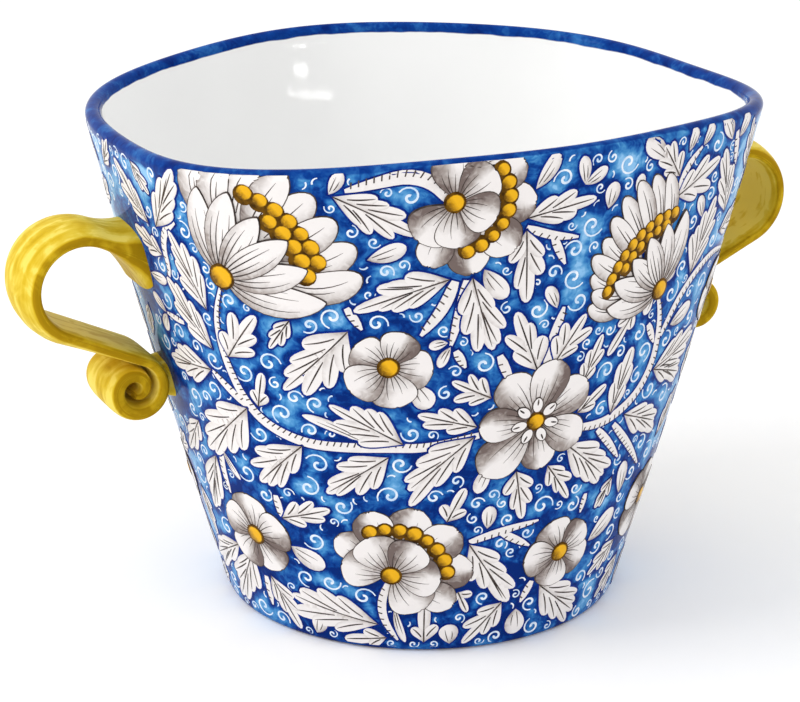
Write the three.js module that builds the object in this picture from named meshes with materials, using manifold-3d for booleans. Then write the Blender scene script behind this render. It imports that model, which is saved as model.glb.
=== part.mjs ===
// Two-handled flower pot in tin-glazed earthenware. The body is thrown round, wall and floor in one,
// and its rim is then squeezed while the clay is soft. Each handle is a strap of clay bent to a loop
// and rolled to a scroll at its lower end. Slip lutes its root to the wall, and a pad of clay pressed
// in behind the scroll holds its lower end. Millimetres, +Z up, origin on the table under the middle
// of the base, handles toward +X and -X.
import * as THREE from "three";
import { mergeVertices } from "three/addons/utils/BufferGeometryUtils.js";
import Module from "manifold-3d";

const wasm = await Module();
wasm.setup();

// Thrown body
const HEIGHT = 230; // to the top of the lip, before the squeeze
const RIM_RADIUS = 144; // outside of the lip, before the squeeze
const BASE_RADIUS = 90.5; // outside of the wall where it meets the table
const WALL = 7; // level through the wall
const BELLY = 2; // swell of the wall past a straight taper
const FLOOR = 9; // from the hollow under the base to the floor inside
const FLOOR_FILLET = 14; // inside corner between wall and floor
const FOOT_EDGE = 3; // rounding of the foot's outer edge
const FOOT_RING = 14; // width of the flat ring that the pot stands on
const FOOT_HOLLOW = 2.5; // depth of the hollow inside the ring
const HOLLOW_SLOPE = 3; // run of the slope from the ring up into the hollow

// Squeeze of the rim, at the lip
const RIM_OVAL = 3.8; // longer along the handles, shorter across
const RIM_FLAT = 2.7; // pressed flat at the handles and at the front and back
const RIM_CORNER = 2.5; // drawn out to a blunt corner on each side of a handle
const CORNER_FADE = 1.5; // power by which the flats and corners die away down the wall
const RIM_DIP = 4.6; // lip lower over the handles and higher between them
const RIM_LEAN = 3.4; // right end higher and left end lower than the mean

// Strap handle
const STRAP_WIDTH = 40;
const STRAP_EDGE = 5.5; // thickness at the edges
const STRAP_CROWN = 3.5; // rise of the outer face in the middle
const LOOP_RADIUS = 21.3; // middle of the strap's thickness
const LOOP_OUT = 30.3; // from the wall to the centre of the loop
const LOOP_BELOW_LIP = 63;
const ROOT_LEAVES = THREE.MathUtils.degToRad(112); // where the root's straight leaves the loop
const ROOT_WIDTH = 45; // flared where it is pressed on the wall
const ROOT_EDGE = 30;
const RIGHT_SHIFT = 3; // back from the long axis, set by hand on each side
const LEFT_SHIFT = 14;

// Scroll at the strap's lower end
const SCROLL_DROP = 48.5; // from the centre of the loop down to the centre of the scroll
const SCROLL_RADIUS = 13.6; // where the strap first comes over it
const SCROLL_PITCH = 7.5; // coming in at each turn
const SCROLL_TURNS = 1.45;
const SCROLL_WIDTH = 35;
const SCROLL_TIP = 3; // thickness at the end

// Luting of the handle
const JOINT_GAP = 0.3; // clearance at each face of a joint
const ROOT_SLIP = 1.2; // thickness of the slip
const PAD_DEPTH = 6; // from the wall to the scroll
const PAD_WIDTH = 22; // at the scroll
const PAD_HEIGHT = 15;
const PAD_FOOT_WIDTH = 25; // where the pad is smeared out on the wall
const PAD_FOOT_HEIGHT = 20;
const BITE = 4; // how far a piece to be cut reaches into the wall

// Facets
const ROUND_STEPS = 72;
const WALL_STEPS = 8;
const EDGE_STEPS = 4;
const STRAP_SIDES = 16;
const ROOT_STEPS = 5;
const LOOP_STEPS = 18;
const RUN_STEPS = 4;
const SCROLL_STEPS = 34;
const PAD_STEPS = 4;
const WELD = 1e-4;

const LIP_Z = HEIGHT - WALL / 2; // centre of the lip's rounding
const FLOOR_Z = FOOT_HOLLOW + FLOOR;

// Outside of the wall as it is thrown, before the squeeze.
function thrownRadius(z) {
  const share = z / LIP_Z;
  return BASE_RADIUS + (RIM_RADIUS - BASE_RADIUS) * share + 4 * BELLY * share * (1 - share);
}

// How far the squeeze moves the wall out, in a direction round the axis.
function squeezeOut(angle, z) {
  const share = Math.max(z, 0) / HEIGHT;
  const corners = RIM_FLAT * Math.cos(4 * angle) + RIM_CORNER * Math.cos(6 * angle);
  return RIM_OVAL * Math.cos(2 * angle) * share - corners * share ** CORNER_FADE;
}

// How far the squeeze moves the wall up.
function squeezeUp(angle, z) {
  const share = Math.max(z, 0) / HEIGHT;
  return (RIM_LEAN * Math.cos(angle) - RIM_DIP * Math.cos(2 * angle)) * share;
}

// Outside of the finished wall at a handle.
function wallRadius(z) {
  return thrownRadius(z) + squeezeOut(0, z);
}

// One skin: corners at the same place are joined, and triangles that close to a line are dropped.
function weld(geometry) {
  const bare = new THREE.BufferGeometry();
  bare.setAttribute("position", geometry.getAttribute("position"));
  bare.setIndex(geometry.getIndex());
  const joined = mergeVertices(bare, WELD);
  const corners = joined.getIndex().array;
  const kept = [];
  for (let first = 0; first < corners.length; first += 3) {
    const [a, b, c] = corners.slice(first, first + 3);
    if (a !== b && b !== c && c !== a) {
      kept.push(a, b, c);
    }
  }
  joined.setIndex(kept);
  return joined;
}

function toSolid(geometry) {
  const skin = weld(geometry);
  const vertProperties = new Float32Array(skin.getAttribute("position").array);
  const triVerts = new Uint32Array(skin.getIndex().array);
  return new wasm.Manifold(new wasm.Mesh({ numProp: 3, vertProperties, triVerts }));
}

function toGeometry(solid) {
  const { vertProperties, triVerts } = solid.getMesh();
  const geometry = new THREE.BufferGeometry();
  geometry.setAttribute("position", new THREE.BufferAttribute(vertProperties, 3));
  geometry.setIndex(new THREE.BufferAttribute(triVerts, 1));
  return geometry;
}

// A profile turned about the axis and then squeezed. A point moves by its share of the wall's radius,
// so the middle of the floor stays where it is.
function turnAndSqueeze(profile) {
  const turned = new THREE.LatheGeometry(profile, ROUND_STEPS);
  turned.rotateX(Math.PI / 2);
  const skin = weld(turned);
  const places = skin.getAttribute("position");
  const place = new THREE.Vector3();
  for (let i = 0; i < places.count; i += 1) {
    place.fromBufferAttribute(places, i);
    const angle = Math.atan2(place.y, place.x);
    const share = Math.hypot(place.x, place.y) / thrownRadius(place.z);
    const scale = 1 + squeezeOut(angle, place.z) / thrownRadius(place.z);
    places.setXYZ(i, place.x * scale, place.y * scale, place.z + squeezeUp(angle, place.z) * share);
  }
  return skin;
}

// Points of the wall between two heights, moved out by an offset.
function wallLine(from, to, offset) {
  const points = [];
  for (let step = 0; step <= WALL_STEPS; step += 1) {
    const z = THREE.MathUtils.lerp(from, to, step / WALL_STEPS);
    points.push(new THREE.Vector2(thrownRadius(z) + offset, z));
  }
  return points;
}

// A rounded corner from one point to another, bent toward the corner that it takes off.
function corner(from, sharp, to) {
  const curve = new THREE.QuadraticBezierCurve(
    new THREE.Vector2(...from),
    new THREE.Vector2(...sharp),
    new THREE.Vector2(...to),
  );
  return curve.getPoints(EDGE_STEPS).slice(1, -1);
}

function potBody() {
  const ringOut = thrownRadius(0) - FOOT_EDGE;
  const ringIn = ringOut - FOOT_RING;
  const insideFoot = thrownRadius(FLOOR_Z) - WALL;
  const filletTop = FLOOR_Z + FLOOR_FILLET;
  const lip = new THREE.EllipseCurve(RIM_RADIUS - WALL / 2, LIP_Z, WALL / 2, WALL / 2, 0, Math.PI);
  const profile = [
    new THREE.Vector2(0, FOOT_HOLLOW),
    new THREE.Vector2(ringIn - HOLLOW_SLOPE, FOOT_HOLLOW),
    new THREE.Vector2(ringIn, 0),
    new THREE.Vector2(ringOut, 0),
    ...corner([ringOut, 0], [thrownRadius(0), 0], [thrownRadius(FOOT_EDGE), FOOT_EDGE]),
    ...wallLine(FOOT_EDGE, LIP_Z, 0),
    ...lip.getPoints(2 * EDGE_STEPS).slice(1, -1),
    ...wallLine(LIP_Z, filletTop, -WALL),
    ...corner(
      [thrownRadius(filletTop) - WALL, filletTop],
      [insideFoot, FLOOR_Z],
      [insideFoot - FLOOR_FILLET, FLOOR_Z],
    ),
    new THREE.Vector2(insideFoot - FLOOR_FILLET, FLOOR_Z),
    new THREE.Vector2(0, FLOOR_Z),
  ];
  return turnAndSqueeze(profile);
}

// Everything inside the wall, and a little outside it by the offset: the tool that cuts a seat.
function insideWall(offset) {
  const profile = [
    new THREE.Vector2(0, 0),
    ...wallLine(0, LIP_Z, offset),
    new THREE.Vector2(0, LIP_Z),
  ];
  return toSolid(turnAndSqueeze(profile));
}

// Centres of the loop and the scroll in the plane of the handle on one side: x out from the axis, y up.
// The left handle is turned half round afterwards, so its shift changes sign here.
function handleCentres(side) {
  const lip = HEIGHT - RIM_DIP + side * RIM_LEAN;
  const loopZ = lip - LOOP_BELOW_LIP;
  const scrollZ = loopZ - SCROLL_DROP;
  const loop = new THREE.Vector2(wallRadius(loopZ) + LOOP_OUT, loopZ);
  const scroll = new THREE.Vector2(wallRadius(scrollZ) + PAD_DEPTH + SCROLL_RADIUS, scrollZ);
  return { loop, scroll, shift: side > 0 ? RIGHT_SHIFT : -LEFT_SHIFT };
}

// Heading of the straight run between loop and scroll: the line that touches both and crosses between.
function runHeading({ loop, scroll }) {
  const between = scroll.clone().sub(loop);
  return between.angle() - Math.asin((LOOP_RADIUS + SCROLL_RADIUS) / between.length());
}

function around(centre, radius, angle) {
  return new THREE.Vector2(Math.cos(angle), Math.sin(angle)).multiplyScalar(radius).add(centre);
}

// Middle of the strap in the scroll, after a turn from where the run comes in over it.
function scrollPoint(centres, turned) {
  const radius = SCROLL_RADIUS - (SCROLL_PITCH * turned) / (2 * Math.PI);
  return around(centres.scroll, radius, runHeading(centres) - Math.PI / 2 + turned);
}

// The strap from root to scroll, as stations with a place, a width, an edge thickness and a crown.
function strapStations(centres) {
  const stations = [];
  const add = (place, width, edge, crown) => stations.push({ place, width, edge, crown });
  const mix = THREE.MathUtils.lerp;

  const leaves = around(centres.loop, LOOP_RADIUS, ROOT_LEAVES);
  const inward = new THREE.Vector2(-Math.sin(ROOT_LEAVES), Math.cos(ROOT_LEAVES));
  const reach = (leaves.x - wallRadius(leaves.y)) / -inward.x + 2 * BITE;
  for (let step = 0; step < ROOT_STEPS; step += 1) {
    const back = 1 - step / ROOT_STEPS;
    const place = inward.clone().multiplyScalar(reach * back).add(leaves);
    const flare = back * back;
    add(place, mix(STRAP_WIDTH, ROOT_WIDTH, flare), mix(STRAP_EDGE, ROOT_EDGE, flare), STRAP_CROWN);
  }

  const loopEnd = runHeading(centres) + Math.PI / 2 - 2 * Math.PI;
  for (let step = 0; step <= LOOP_STEPS; step += 1) {
    const angle = mix(ROOT_LEAVES, loopEnd, step / LOOP_STEPS);
    add(around(centres.loop, LOOP_RADIUS, angle), STRAP_WIDTH, STRAP_EDGE, STRAP_CROWN);
  }

  const runStart = around(centres.loop, LOOP_RADIUS, loopEnd);
  for (let step = 1; step < RUN_STEPS; step += 1) {
    const share = step / RUN_STEPS;
    const place = runStart.clone().lerp(scrollPoint(centres, 0), share);
    add(place, STRAP_WIDTH, STRAP_EDGE, STRAP_CROWN * (1 - share));
  }

  for (let step = 0; step <= SCROLL_STEPS; step += 1) {
    const share = step / SCROLL_STEPS;
    const place = scrollPoint(centres, 2 * Math.PI * SCROLL_TURNS * share);
    add(place, mix(STRAP_WIDTH, SCROLL_WIDTH, share), mix(STRAP_EDGE, SCROLL_TIP, share), 0);
  }
  return stations;
}

// Points of a bar with well rounded edges, each coordinate from -1 to 1.
function barPoints() {
  const soften = (value) => Math.sign(value) * Math.sqrt(Math.abs(value));
  const points = [];
  for (let side = 0; side < STRAP_SIDES; side += 1) {
    const angle = (2 * Math.PI * side) / STRAP_SIDES;
    points.push({ across: soften(Math.cos(angle)), through: soften(Math.sin(angle)) });
  }
  return points;
}

// One section of the strap, square to its heading and crowned on the loop's outer face.
function strapRing({ place, width, edge, crown }, heading, grow, shift) {
  return barPoints().map(({ across, through }) => {
    const rise = through > 0 ? crown * (1 - across * across) : 0;
    const out = (edge / 2 + grow) * through + rise;
    return new THREE.Vector3(
      place.x - Math.sin(heading) * out,
      (width / 2 + grow) * across + shift,
      place.y + Math.cos(heading) * out,
    );
  });
}

// A closed skin through a row of rings, with a fan over each end.
function loft(rings) {
  const sides = rings[0].length;
  const middle = (ring) => ring.reduce((sum, point) => sum.add(point), new THREE.Vector3()).divideScalar(sides);
  const points = [...rings.flat(), middle(rings[0]), middle(rings.at(-1))];
  const lastRing = (rings.length - 1) * sides;
  const lastMiddle = points.length - 1;
  const triangles = [];
  for (let side = 0; side < sides; side += 1) {
    const next = (side + 1) % sides;
    for (let start = 0; start < lastRing; start += sides) {
      triangles.push(start + side, start + sides + next, start + sides + side);
      triangles.push(start + side, start + next, start + sides + next);
    }
    triangles.push(lastMiddle - 1, next, side);
    triangles.push(lastMiddle, lastRing + side, lastRing + next);
  }
  const geometry = new THREE.BufferGeometry().setFromPoints(points);
  geometry.setIndex(triangles);
  return geometry;
}

// The whole strap, reaching into the wall at its root, with a clearance added all round.
function strap(centres, grow) {
  const stations = strapStations(centres);
  const rings = stations.map((station, i) => {
    const before = stations[Math.max(i - 1, 0)].place;
    const after = stations[Math.min(i + 1, stations.length - 1)].place;
    return strapRing(station, after.clone().sub(before).angle(), grow, centres.shift);
  });
  return loft(rings);
}

// The pad before it is cut: from inside the wall, where it is smeared out, to the middle of the strap
// where the scroll comes nearest to the wall.
function padBlock(centres) {
  const nearest = scrollPoint(centres, 1.5 * Math.PI - runHeading(centres));
  const start = wallRadius(nearest.y) - BITE;
  const rings = [];
  for (let step = 0; step <= PAD_STEPS; step += 1) {
    const share = step / PAD_STEPS;
    const smear = (1 - share) ** 2;
    const width = THREE.MathUtils.lerp(PAD_WIDTH, PAD_FOOT_WIDTH, smear);
    const height = THREE.MathUtils.lerp(PAD_HEIGHT, PAD_FOOT_HEIGHT, smear);
    const x = THREE.MathUtils.lerp(start, nearest.x, share);
    rings.push(barPoints().map(({ across, through }) => new THREE.Vector3(
      x,
      (width / 2) * across + centres.shift,
      nearest.y + (height / 2) * through,
    )));
  }
  return loft(rings);
}

const GLAZE_BLUE = new THREE.MeshStandardMaterial({ color: 0x1f56ae, roughness: 0.22, metalness: 0 });
const GLAZE_YELLOW = new THREE.MeshStandardMaterial({ color: 0xcfae3e, roughness: 0.25, metalness: 0 });

function named(name, geometry, material) {
  const mesh = new THREE.Mesh(geometry, material);
  mesh.name = name;
  return mesh;
}

const SEAT = JOINT_GAP + ROOT_SLIP + JOINT_GAP;
const SIDES = [
  { name: "right", side: 1, turn: 0 },
  { name: "left", side: -1, turn: Math.PI },
];

const pot = new THREE.Group();
pot.name = "flower_pot";
pot.add(named("pot_body", potBody(), GLAZE_BLUE));
for (const { name, side, turn } of SIDES) {
  const centres = handleCentres(side);
  const whole = toSolid(strap(centres, 0).rotateZ(turn));
  const roomy = toSolid(strap(centres, JOINT_GAP).rotateZ(turn));
  const block = toSolid(padBlock(centres).rotateZ(turn));
  const handle = whole.subtract(insideWall(SEAT));
  const slip = whole.intersect(insideWall(JOINT_GAP + ROOT_SLIP)).subtract(insideWall(JOINT_GAP));
  const pad = block.subtract(roomy).subtract(insideWall(JOINT_GAP));
  pot.add(named(`handle_${name}`, toGeometry(handle), GLAZE_YELLOW));
  pot.add(named(`root_slip_${name}`, toGeometry(slip), GLAZE_YELLOW));
  pot.add(named(`scroll_pad_${name}`, toGeometry(pad), GLAZE_YELLOW));
}

export default pot;
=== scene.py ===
# %% [markdown]
# # A hand-painted flower pot
# The pot is tin-glazed earthenware: a thrown body, two strap handles rolled to scrolls, a white glaze, and
# flowers, leaves and curls painted on a cobalt ground. The solid model comes first. It is loaded as a
# fixed frame, and every piece below is laid on it at the same place and size.

# %% Load the frame
import math

import bpy
import numpy as np
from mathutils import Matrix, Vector


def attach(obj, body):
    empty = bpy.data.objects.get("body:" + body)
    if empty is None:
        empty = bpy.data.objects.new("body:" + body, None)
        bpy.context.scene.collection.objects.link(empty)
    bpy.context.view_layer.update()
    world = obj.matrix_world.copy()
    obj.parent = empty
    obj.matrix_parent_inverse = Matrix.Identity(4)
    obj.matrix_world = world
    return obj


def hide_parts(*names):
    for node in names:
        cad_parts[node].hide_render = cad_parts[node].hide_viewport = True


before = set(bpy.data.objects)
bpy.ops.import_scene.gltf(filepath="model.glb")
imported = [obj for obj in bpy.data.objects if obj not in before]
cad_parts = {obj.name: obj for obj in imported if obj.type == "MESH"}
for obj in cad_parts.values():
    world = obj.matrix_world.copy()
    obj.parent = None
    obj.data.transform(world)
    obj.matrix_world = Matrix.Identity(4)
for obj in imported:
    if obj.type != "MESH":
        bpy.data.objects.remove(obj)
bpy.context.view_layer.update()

MM = 0.001

# %% [markdown]
# ## The shape of the wall
# The potter throws the wall round and then squeezes the soft rim by hand. A formula can do the same in
# that order: first a radius for each height, then a move out and up that grows towards the lip. One
# formula then serves the body, the paint on it and the handles that meet it, so they all agree.

# %% The thrown wall and the squeeze
HEIGHT = 230.0  # millimetres, as all sizes here until a mesh is made
RIM_RADIUS = 144.0
BASE_RADIUS = 90.5
WALL = 7.0
BELLY = 2.0
LIP_ROUND = WALL / 2
LIP_Z = HEIGHT - LIP_ROUND
RIM_OVAL, RIM_FLAT, RIM_CORNER = 3.8, 2.7, 2.5  # how far the lip moves out in waves of two, four and six
CORNER_FADE = 1.5  # power by which the waves of four and six fade toward the foot
RIM_DIP, RIM_LEAN = 4.6, 3.4  # how far the lip moves up in waves of two and one
TANGENT_TURN, TANGENT_RISE = 0.002, 0.2  # radians and millimetres from a point to its neighbours


def thrown_radius(z):
    """Radius of the thrown wall: a straight taper from base to lip plus a slight parabolic belly."""
    share = z / LIP_Z
    return BASE_RADIUS + (RIM_RADIUS - BASE_RADIUS) * share + 4 * BELLY * share * (1 - share)


def squeezed(radius, angle, z):
    """Points moved by the squeeze: out by cosines of two, four and six turns, and up by one and two."""
    share = np.maximum(z, 0) / HEIGHT
    corners = RIM_FLAT * np.cos(4 * angle) + RIM_CORNER * np.cos(6 * angle)
    out = RIM_OVAL * np.cos(2 * angle) * share - corners * share**CORNER_FADE
    up = (RIM_LEAN * np.cos(angle) - RIM_DIP * np.cos(2 * angle)) * share
    reach = radius / thrown_radius(z)
    moved = radius + out * reach
    return np.stack([moved * np.cos(angle), moved * np.sin(angle), z + up * reach], axis=-1)


def outside(angle, z):
    """Outer skin at an angle and a height. Above the lip's centre the height goes on round the lip."""
    over = np.clip((z - LIP_Z) / LIP_ROUND, 0, math.pi / 2)
    below = np.minimum(z, LIP_Z)
    radius = thrown_radius(below) - LIP_ROUND * (1 - np.cos(over))
    return squeezed(radius, angle, below + LIP_ROUND * np.sin(over))


def proud_of_wall(angle, z, proud):
    """The outer skin moved out along its normal, the cross product of its two tangents."""
    around = outside(angle + TANGENT_TURN, z) - outside(angle - TANGENT_TURN, z)
    upward = outside(angle, z + TANGENT_RISE) - outside(angle, z - TANGENT_RISE)
    normal = np.cross(around, upward)
    normal /= np.linalg.norm(normal, axis=-1, keepdims=True)
    return outside(angle, z) + normal * proud[..., None]


print("wall radius at foot and lip:", thrown_radius(0.0), thrown_radius(LIP_Z))

# %% [markdown]
# ## One tool for every mesh
# A wall, a strap, a petal and a bead can all be made as rows of rings joined by quads, with a flat cap on
# each end. Working on whole arrays, one call can join thousands of petals at once. Blender takes the
# arrays through foreach_set, which is far quicker than adding vertices one by one.

# %% Loft rings to closed shapes
CREASE = math.radians(40)


def skin(rings, start):
    """Corner numbers and sizes of the faces of closed skins, from an array of shapes, rows and sides.

    Each quad joins two neighbours in a ring to the same two in the next row, and a cap closes each end. If
    the volume, a sum of triple products, comes out negative, every face is turned round.
    """
    shapes, rows, sides, _ = rings.shape
    index = np.arange(shapes * rows * sides).reshape(shapes, rows, sides)
    near, far = index[:, :-1], index[:, 1:]
    quads = np.stack([near, np.roll(near, -1, 2), np.roll(far, -1, 2), far], axis=-1).reshape(-1, 4)
    caps = np.concatenate([index[:, 0, ::-1], index[:, -1]])
    a, b, c, d = (rings.reshape(-1, 3)[quads[:, corner]] for corner in range(4))
    volume = np.einsum("ij,ij->", a, np.cross(b, c)) + np.einsum("ij,ij->", a, np.cross(c, d))
    if volume < 0:
        quads, caps = quads[:, ::-1], caps[:, ::-1]
    corners = np.concatenate([quads.ravel(), caps.ravel()]) + start
    return corners, np.concatenate([np.full(len(quads), 4), np.full(len(caps), sides)])


def loft(name, sets, material):
    """One piece from sets of rings in millimetres, each with values to keep at its points."""
    points = np.concatenate([rings.reshape(-1, 3) for rings, _ in sets]) * MM
    starts = np.cumsum([0] + [rings[..., 0].size for rings, _ in sets])
    faces = [skin(rings, start) for (rings, _), start in zip(sets, starts)]
    corners = np.concatenate([face[0] for face in faces])
    sizes = np.concatenate([face[1] for face in faces])
    mesh = bpy.data.meshes.new(name)
    mesh.vertices.add(len(points))
    mesh.vertices.foreach_set("co", points.ravel())
    mesh.loops.add(len(corners))
    mesh.loops.foreach_set("vertex_index", corners)
    mesh.polygons.add(len(sizes))
    mesh.polygons.foreach_set("loop_start", np.cumsum(sizes) - sizes)
    mesh.update(calc_edges=True)
    mesh.shade_smooth()
    mesh.set_sharp_from_angle(angle=CREASE)
    for key in sets[0][1]:
        values = [np.broadcast_to(kept[key], rings.shape[:3]).ravel() for rings, kept in sets]
        layer = mesh.attributes.new(key, "FLOAT", "POINT")
        layer.data.foreach_set("value", np.concatenate(values).astype(np.float32))
    mesh.materials.append(material)
    piece = bpy.data.objects.new(name, mesh)
    bpy.context.scene.collection.objects.link(piece)
    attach(piece, "root")
    mesh.calc_loop_triangles()
    print(f"{name}: {sum(len(rings) for rings, _ in sets)} shapes, {len(mesh.loop_triangles)} triangles")
    return piece


print("edges sharper than", round(math.degrees(CREASE)), "degrees stay sharp")

# %% [markdown]
# ## One tool for every material
# Colours are chosen as sRGB hex values, as they look on a screen, and Blender wants them linear. One small
# function adds any node with its settings, and takes either plain values or links for its inputs.

# %% Colours and nodes
GLAZE_IOR = 1.5  # lead and tin glazes lie between 1.5 and 1.6
GLAZE_RIPPLE, RIPPLE_DEPTH = 6.0, 0.2  # width and depth of the faint waves in a fired glaze


def linear(code):
    """A hex colour as linear RGBA: each channel through the sRGB curve's power and toe."""
    channels = np.array([int(code[start:start + 2], 16) for start in (0, 2, 4)]) / 255
    toe, curve = channels / 12.92, ((channels + 0.055) / 1.055) ** 2.4
    return (*np.where(channels <= 0.04045, toe, curve).tolist(), 1.0)


def add(tree, kind, inputs=None, output=0, stops=(), **settings):
    """One socket of a new node, whose inputs are set to values or linked from other sockets.

    Settings go on the node itself. Stops are the positions and hex colours of a colour ramp: its two ends
    first, then those between.
    """
    made = tree.nodes.new("ShaderNode" + kind)
    for key, value in settings.items():
        setattr(made, key, value)
    for socket, value in (inputs or {}).items():
        if isinstance(value, bpy.types.NodeSocket):
            tree.links.new(value, made.inputs[socket])
        else:
            made.inputs[socket].default_value = value
    for place, (position, code) in enumerate(stops):
        elements = made.color_ramp.elements
        element = elements[place] if place < 2 else elements.new(position)
        element.position = position
        element.color = linear(code)
    return made.outputs[output] if made.outputs else None


def per_metre(size):
    """How many of a size in millimetres go into a metre, which is what the scale of a noise means."""
    return 1 / (size * MM)


def ripple(tree):
    """The normal of a glaze that ran and settled: faint waves a few millimetres wide."""
    places = add(tree, "TexCoord", output="Object")
    waves = add(tree, "TexNoise", {"Vector": places, "Scale": per_metre(GLAZE_RIPPLE), "Detail": 1.0})
    return add(tree, "Bump", {"Height": waves, "Strength": 0.05, "Distance": RIPPLE_DEPTH * MM})


def glazed(name, paint, roughness, shine, extra=None):
    """A fired glaze. paint(tree) gives its base colour and its normal, and extra(tree) more inputs."""
    material = bpy.data.materials.new(name)
    material.use_nodes = True
    tree = material.node_tree
    tree.nodes.clear()
    colour, normal = paint(tree)
    shader = add(tree, "BsdfPrincipled", {
        "Base Color": colour, "Normal": normal, "Roughness": roughness, "IOR": GLAZE_IOR,
        "Specular IOR Level": shine, **(extra(tree) if extra else {}),
    })
    add(tree, "OutputMaterial", {"Surface": shader})
    return material


print("cobalt in linear light:", [round(value, 3) for value in linear("0e4292")])

# %% [markdown]
# ## The handle glaze
# The handles are dipped in a honey-yellow glaze and wiped along with a brush, so pale and olive streaks run
# the length of the strap, and the glaze pools darker on its narrow edges. Painted shade darkens the root,
# the inner turns of the scroll and the pad, and painted light makes the loop's inner face paler where it
# lies in shade. The strap keeps the distance along and across itself, and a noise stretched on those two
# gives streaks that follow every bend.

# %% Handle glaze
STREAK_WIDE, STREAK_LONG = 5.0, 32.0
STREAK_RELIEF = 0.25  # depth of the marks that the brush leaves
POOL_WIDE, POOL_WEIGHT = 11.0, 0.8  # width of patches where glaze runs together, and what they count


def honey(tree):
    """Streaks from a noise on the strap's own distances, less the kept edge pooling, painted shade and
    painted light, in a ramp from olive to straw.
    """
    across = add(tree, "Attribute", output="Fac", attribute_name="across")
    along = add(tree, "Attribute", output="Fac", attribute_name="along")
    wide = add(tree, "Math", {0: across, 1: 1 / STREAK_WIDE}, operation="MULTIPLY")
    far = add(tree, "Math", {0: along, 1: 1 / STREAK_LONG}, operation="MULTIPLY")
    place = add(tree, "CombineXYZ", {"X": wide, "Y": far})
    streaks = add(tree, "TexNoise", {"Vector": place, "Scale": 1.0, "Detail": 2.5})
    places = add(tree, "TexCoord", output="Object")
    pools = add(tree, "TexNoise", {
        "Vector": places, "Scale": per_metre(POOL_WIDE), "Detail": 3.0, "Distortion": 1.0,
    })
    mixed = add(tree, "Math", {0: pools, 1: POOL_WEIGHT, 2: streaks}, operation="MULTIPLY_ADD")
    # edge pooling, painted shade at root, scroll and pad, and painted light on the loop's inner face
    pooling_and_shade = add(tree, "Attribute", output="Fac", attribute_name="pooling_and_shade")
    shaded = add(tree, "Math", {0: mixed, 1: pooling_and_shade}, operation="SUBTRACT")
    colour = add(tree, "ValToRGB", {"Fac": shaded}, stops=(
        (0.46, "a8830f"), (1.0, "eed662"), (0.62, "c7a31c"), (0.78, "d6b42c"), (0.92, "e0c444"),
    ))
    relief = add(tree, "Bump", {"Height": streaks, "Strength": 0.25, "Distance": STREAK_RELIEF * MM})
    return colour, relief


# A warm lead glaze, thin on the streaks and darker in patches where it runs together, with the strap's
# painted shade and painted light.
HONEY_GLAZE = glazed("honey_glaze_brushed", honey, roughness=0.4, shine=0.015)
print("made", HONEY_GLAZE.name)

# %% [markdown]
# ## The handles
# Each handle is a flat strap of clay. It leaves the wall, bends down in a loop, runs back in and rolls up
# to a scroll. In side view its middle line is a straight, an arc, a straight and a spiral. Four short
# formulas give it, and the second straight is worked out as the line that touches both loop and scroll.

# %% Middle line of a strap
LOOP_RADIUS, LOOP_OUT, LOOP_BELOW_LIP = 21.3, 30.3, 63.0
SCROLL_DROP, SCROLL_RADIUS, SCROLL_PITCH, SCROLL_TURNS = 48.5, 13.6, 7.5, 1.45
PAD_DEPTH = 6.0  # clay between the scroll and the wall


def wall_at_handle(z):
    """Outside of the squeezed wall at a handle."""
    return squeezed(thrown_radius(z), 0.0, z)[0]


def handle_centres(side):
    """Centres of loop and scroll, and the heading of the line that touches both and crosses between."""
    loop_z = HEIGHT - RIM_DIP + side * RIM_LEAN - LOOP_BELOW_LIP
    scroll_z = loop_z - SCROLL_DROP
    loop = np.array([wall_at_handle(loop_z) + LOOP_OUT, loop_z])
    scroll = np.array([wall_at_handle(scroll_z) + PAD_DEPTH + SCROLL_RADIUS, scroll_z])
    apart = scroll - loop
    lean = math.asin((LOOP_RADIUS + SCROLL_RADIUS) / np.hypot(*apart))
    return loop, scroll, math.atan2(apart[1], apart[0]) % (2 * math.pi) - lean


def arc(centre, radius, angle):
    """Points round a centre."""
    return centre + np.stack([radius * np.cos(angle), radius * np.sin(angle)], axis=-1)


def scroll_line(scroll, heading, turned):
    """The spiral: its radius falls by the pitch at each turn."""
    return arc(scroll, SCROLL_RADIUS - SCROLL_PITCH * turned / (2 * math.pi), heading - math.pi / 2 + turned)


loop, scroll, _ = handle_centres(1)
print("right handle, loop and scroll:", loop.round(1), scroll.round(1))

# %% [markdown]
# ### The strap
# A section with well rounded edges is carried along the middle line, wide and thick at the root and thin
# at the tip of the scroll. The root sinks a little into the wall, as clay does when it is pressed on.

# %% Strap
STRAP_WIDTH, STRAP_EDGE, STRAP_CROWN = 40.0, 5.5, 3.5
ROOT_WIDTH, ROOT_EDGE = 45.0, 30.0
ROOT_LEAVES = math.radians(112)  # how far round the loop the root begins
ROOT_INTO_WALL = 8.0  # how far the middle line goes on behind the face of the wall
SCROLL_WIDTH, SCROLL_TIP = 35.0, 3.0
SCROLL_FILL = 3.7  # the soft strap is this much thicker in the middle of the scroll, so its turns close up
HANDLE_SHIFT = {1: 3.0, -1: 14.0}  # back from the long axis, on the right and on the left
PRESSED_IN = 2.5  # how far clay sinks into the wall
ROOT_ROWS, LOOP_ROWS, RUN_ROWS, SCROLL_ROWS = 16, 64, 11, 110
STRAP_SIDES = 56
ROOT_PAINTED_SHADE, SCROLL_PAINTED_SHADE, EDGE_POOL = 0.05, 0.02, 0.4  # painted shade where the strap meets the wall and in the scroll's turns, and how much darker the glaze pools on the edges
EDGE_STARTS, EDGE_FULL = 0.9308, 0.9692  # shares of the half width between which it begins to pool
INNER_PAINTED_LIGHT, INNER_FACE = 0.14, -0.9  # painted light: how much paler the inner face, which lies in shade, is painted, and where that face begins
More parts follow.
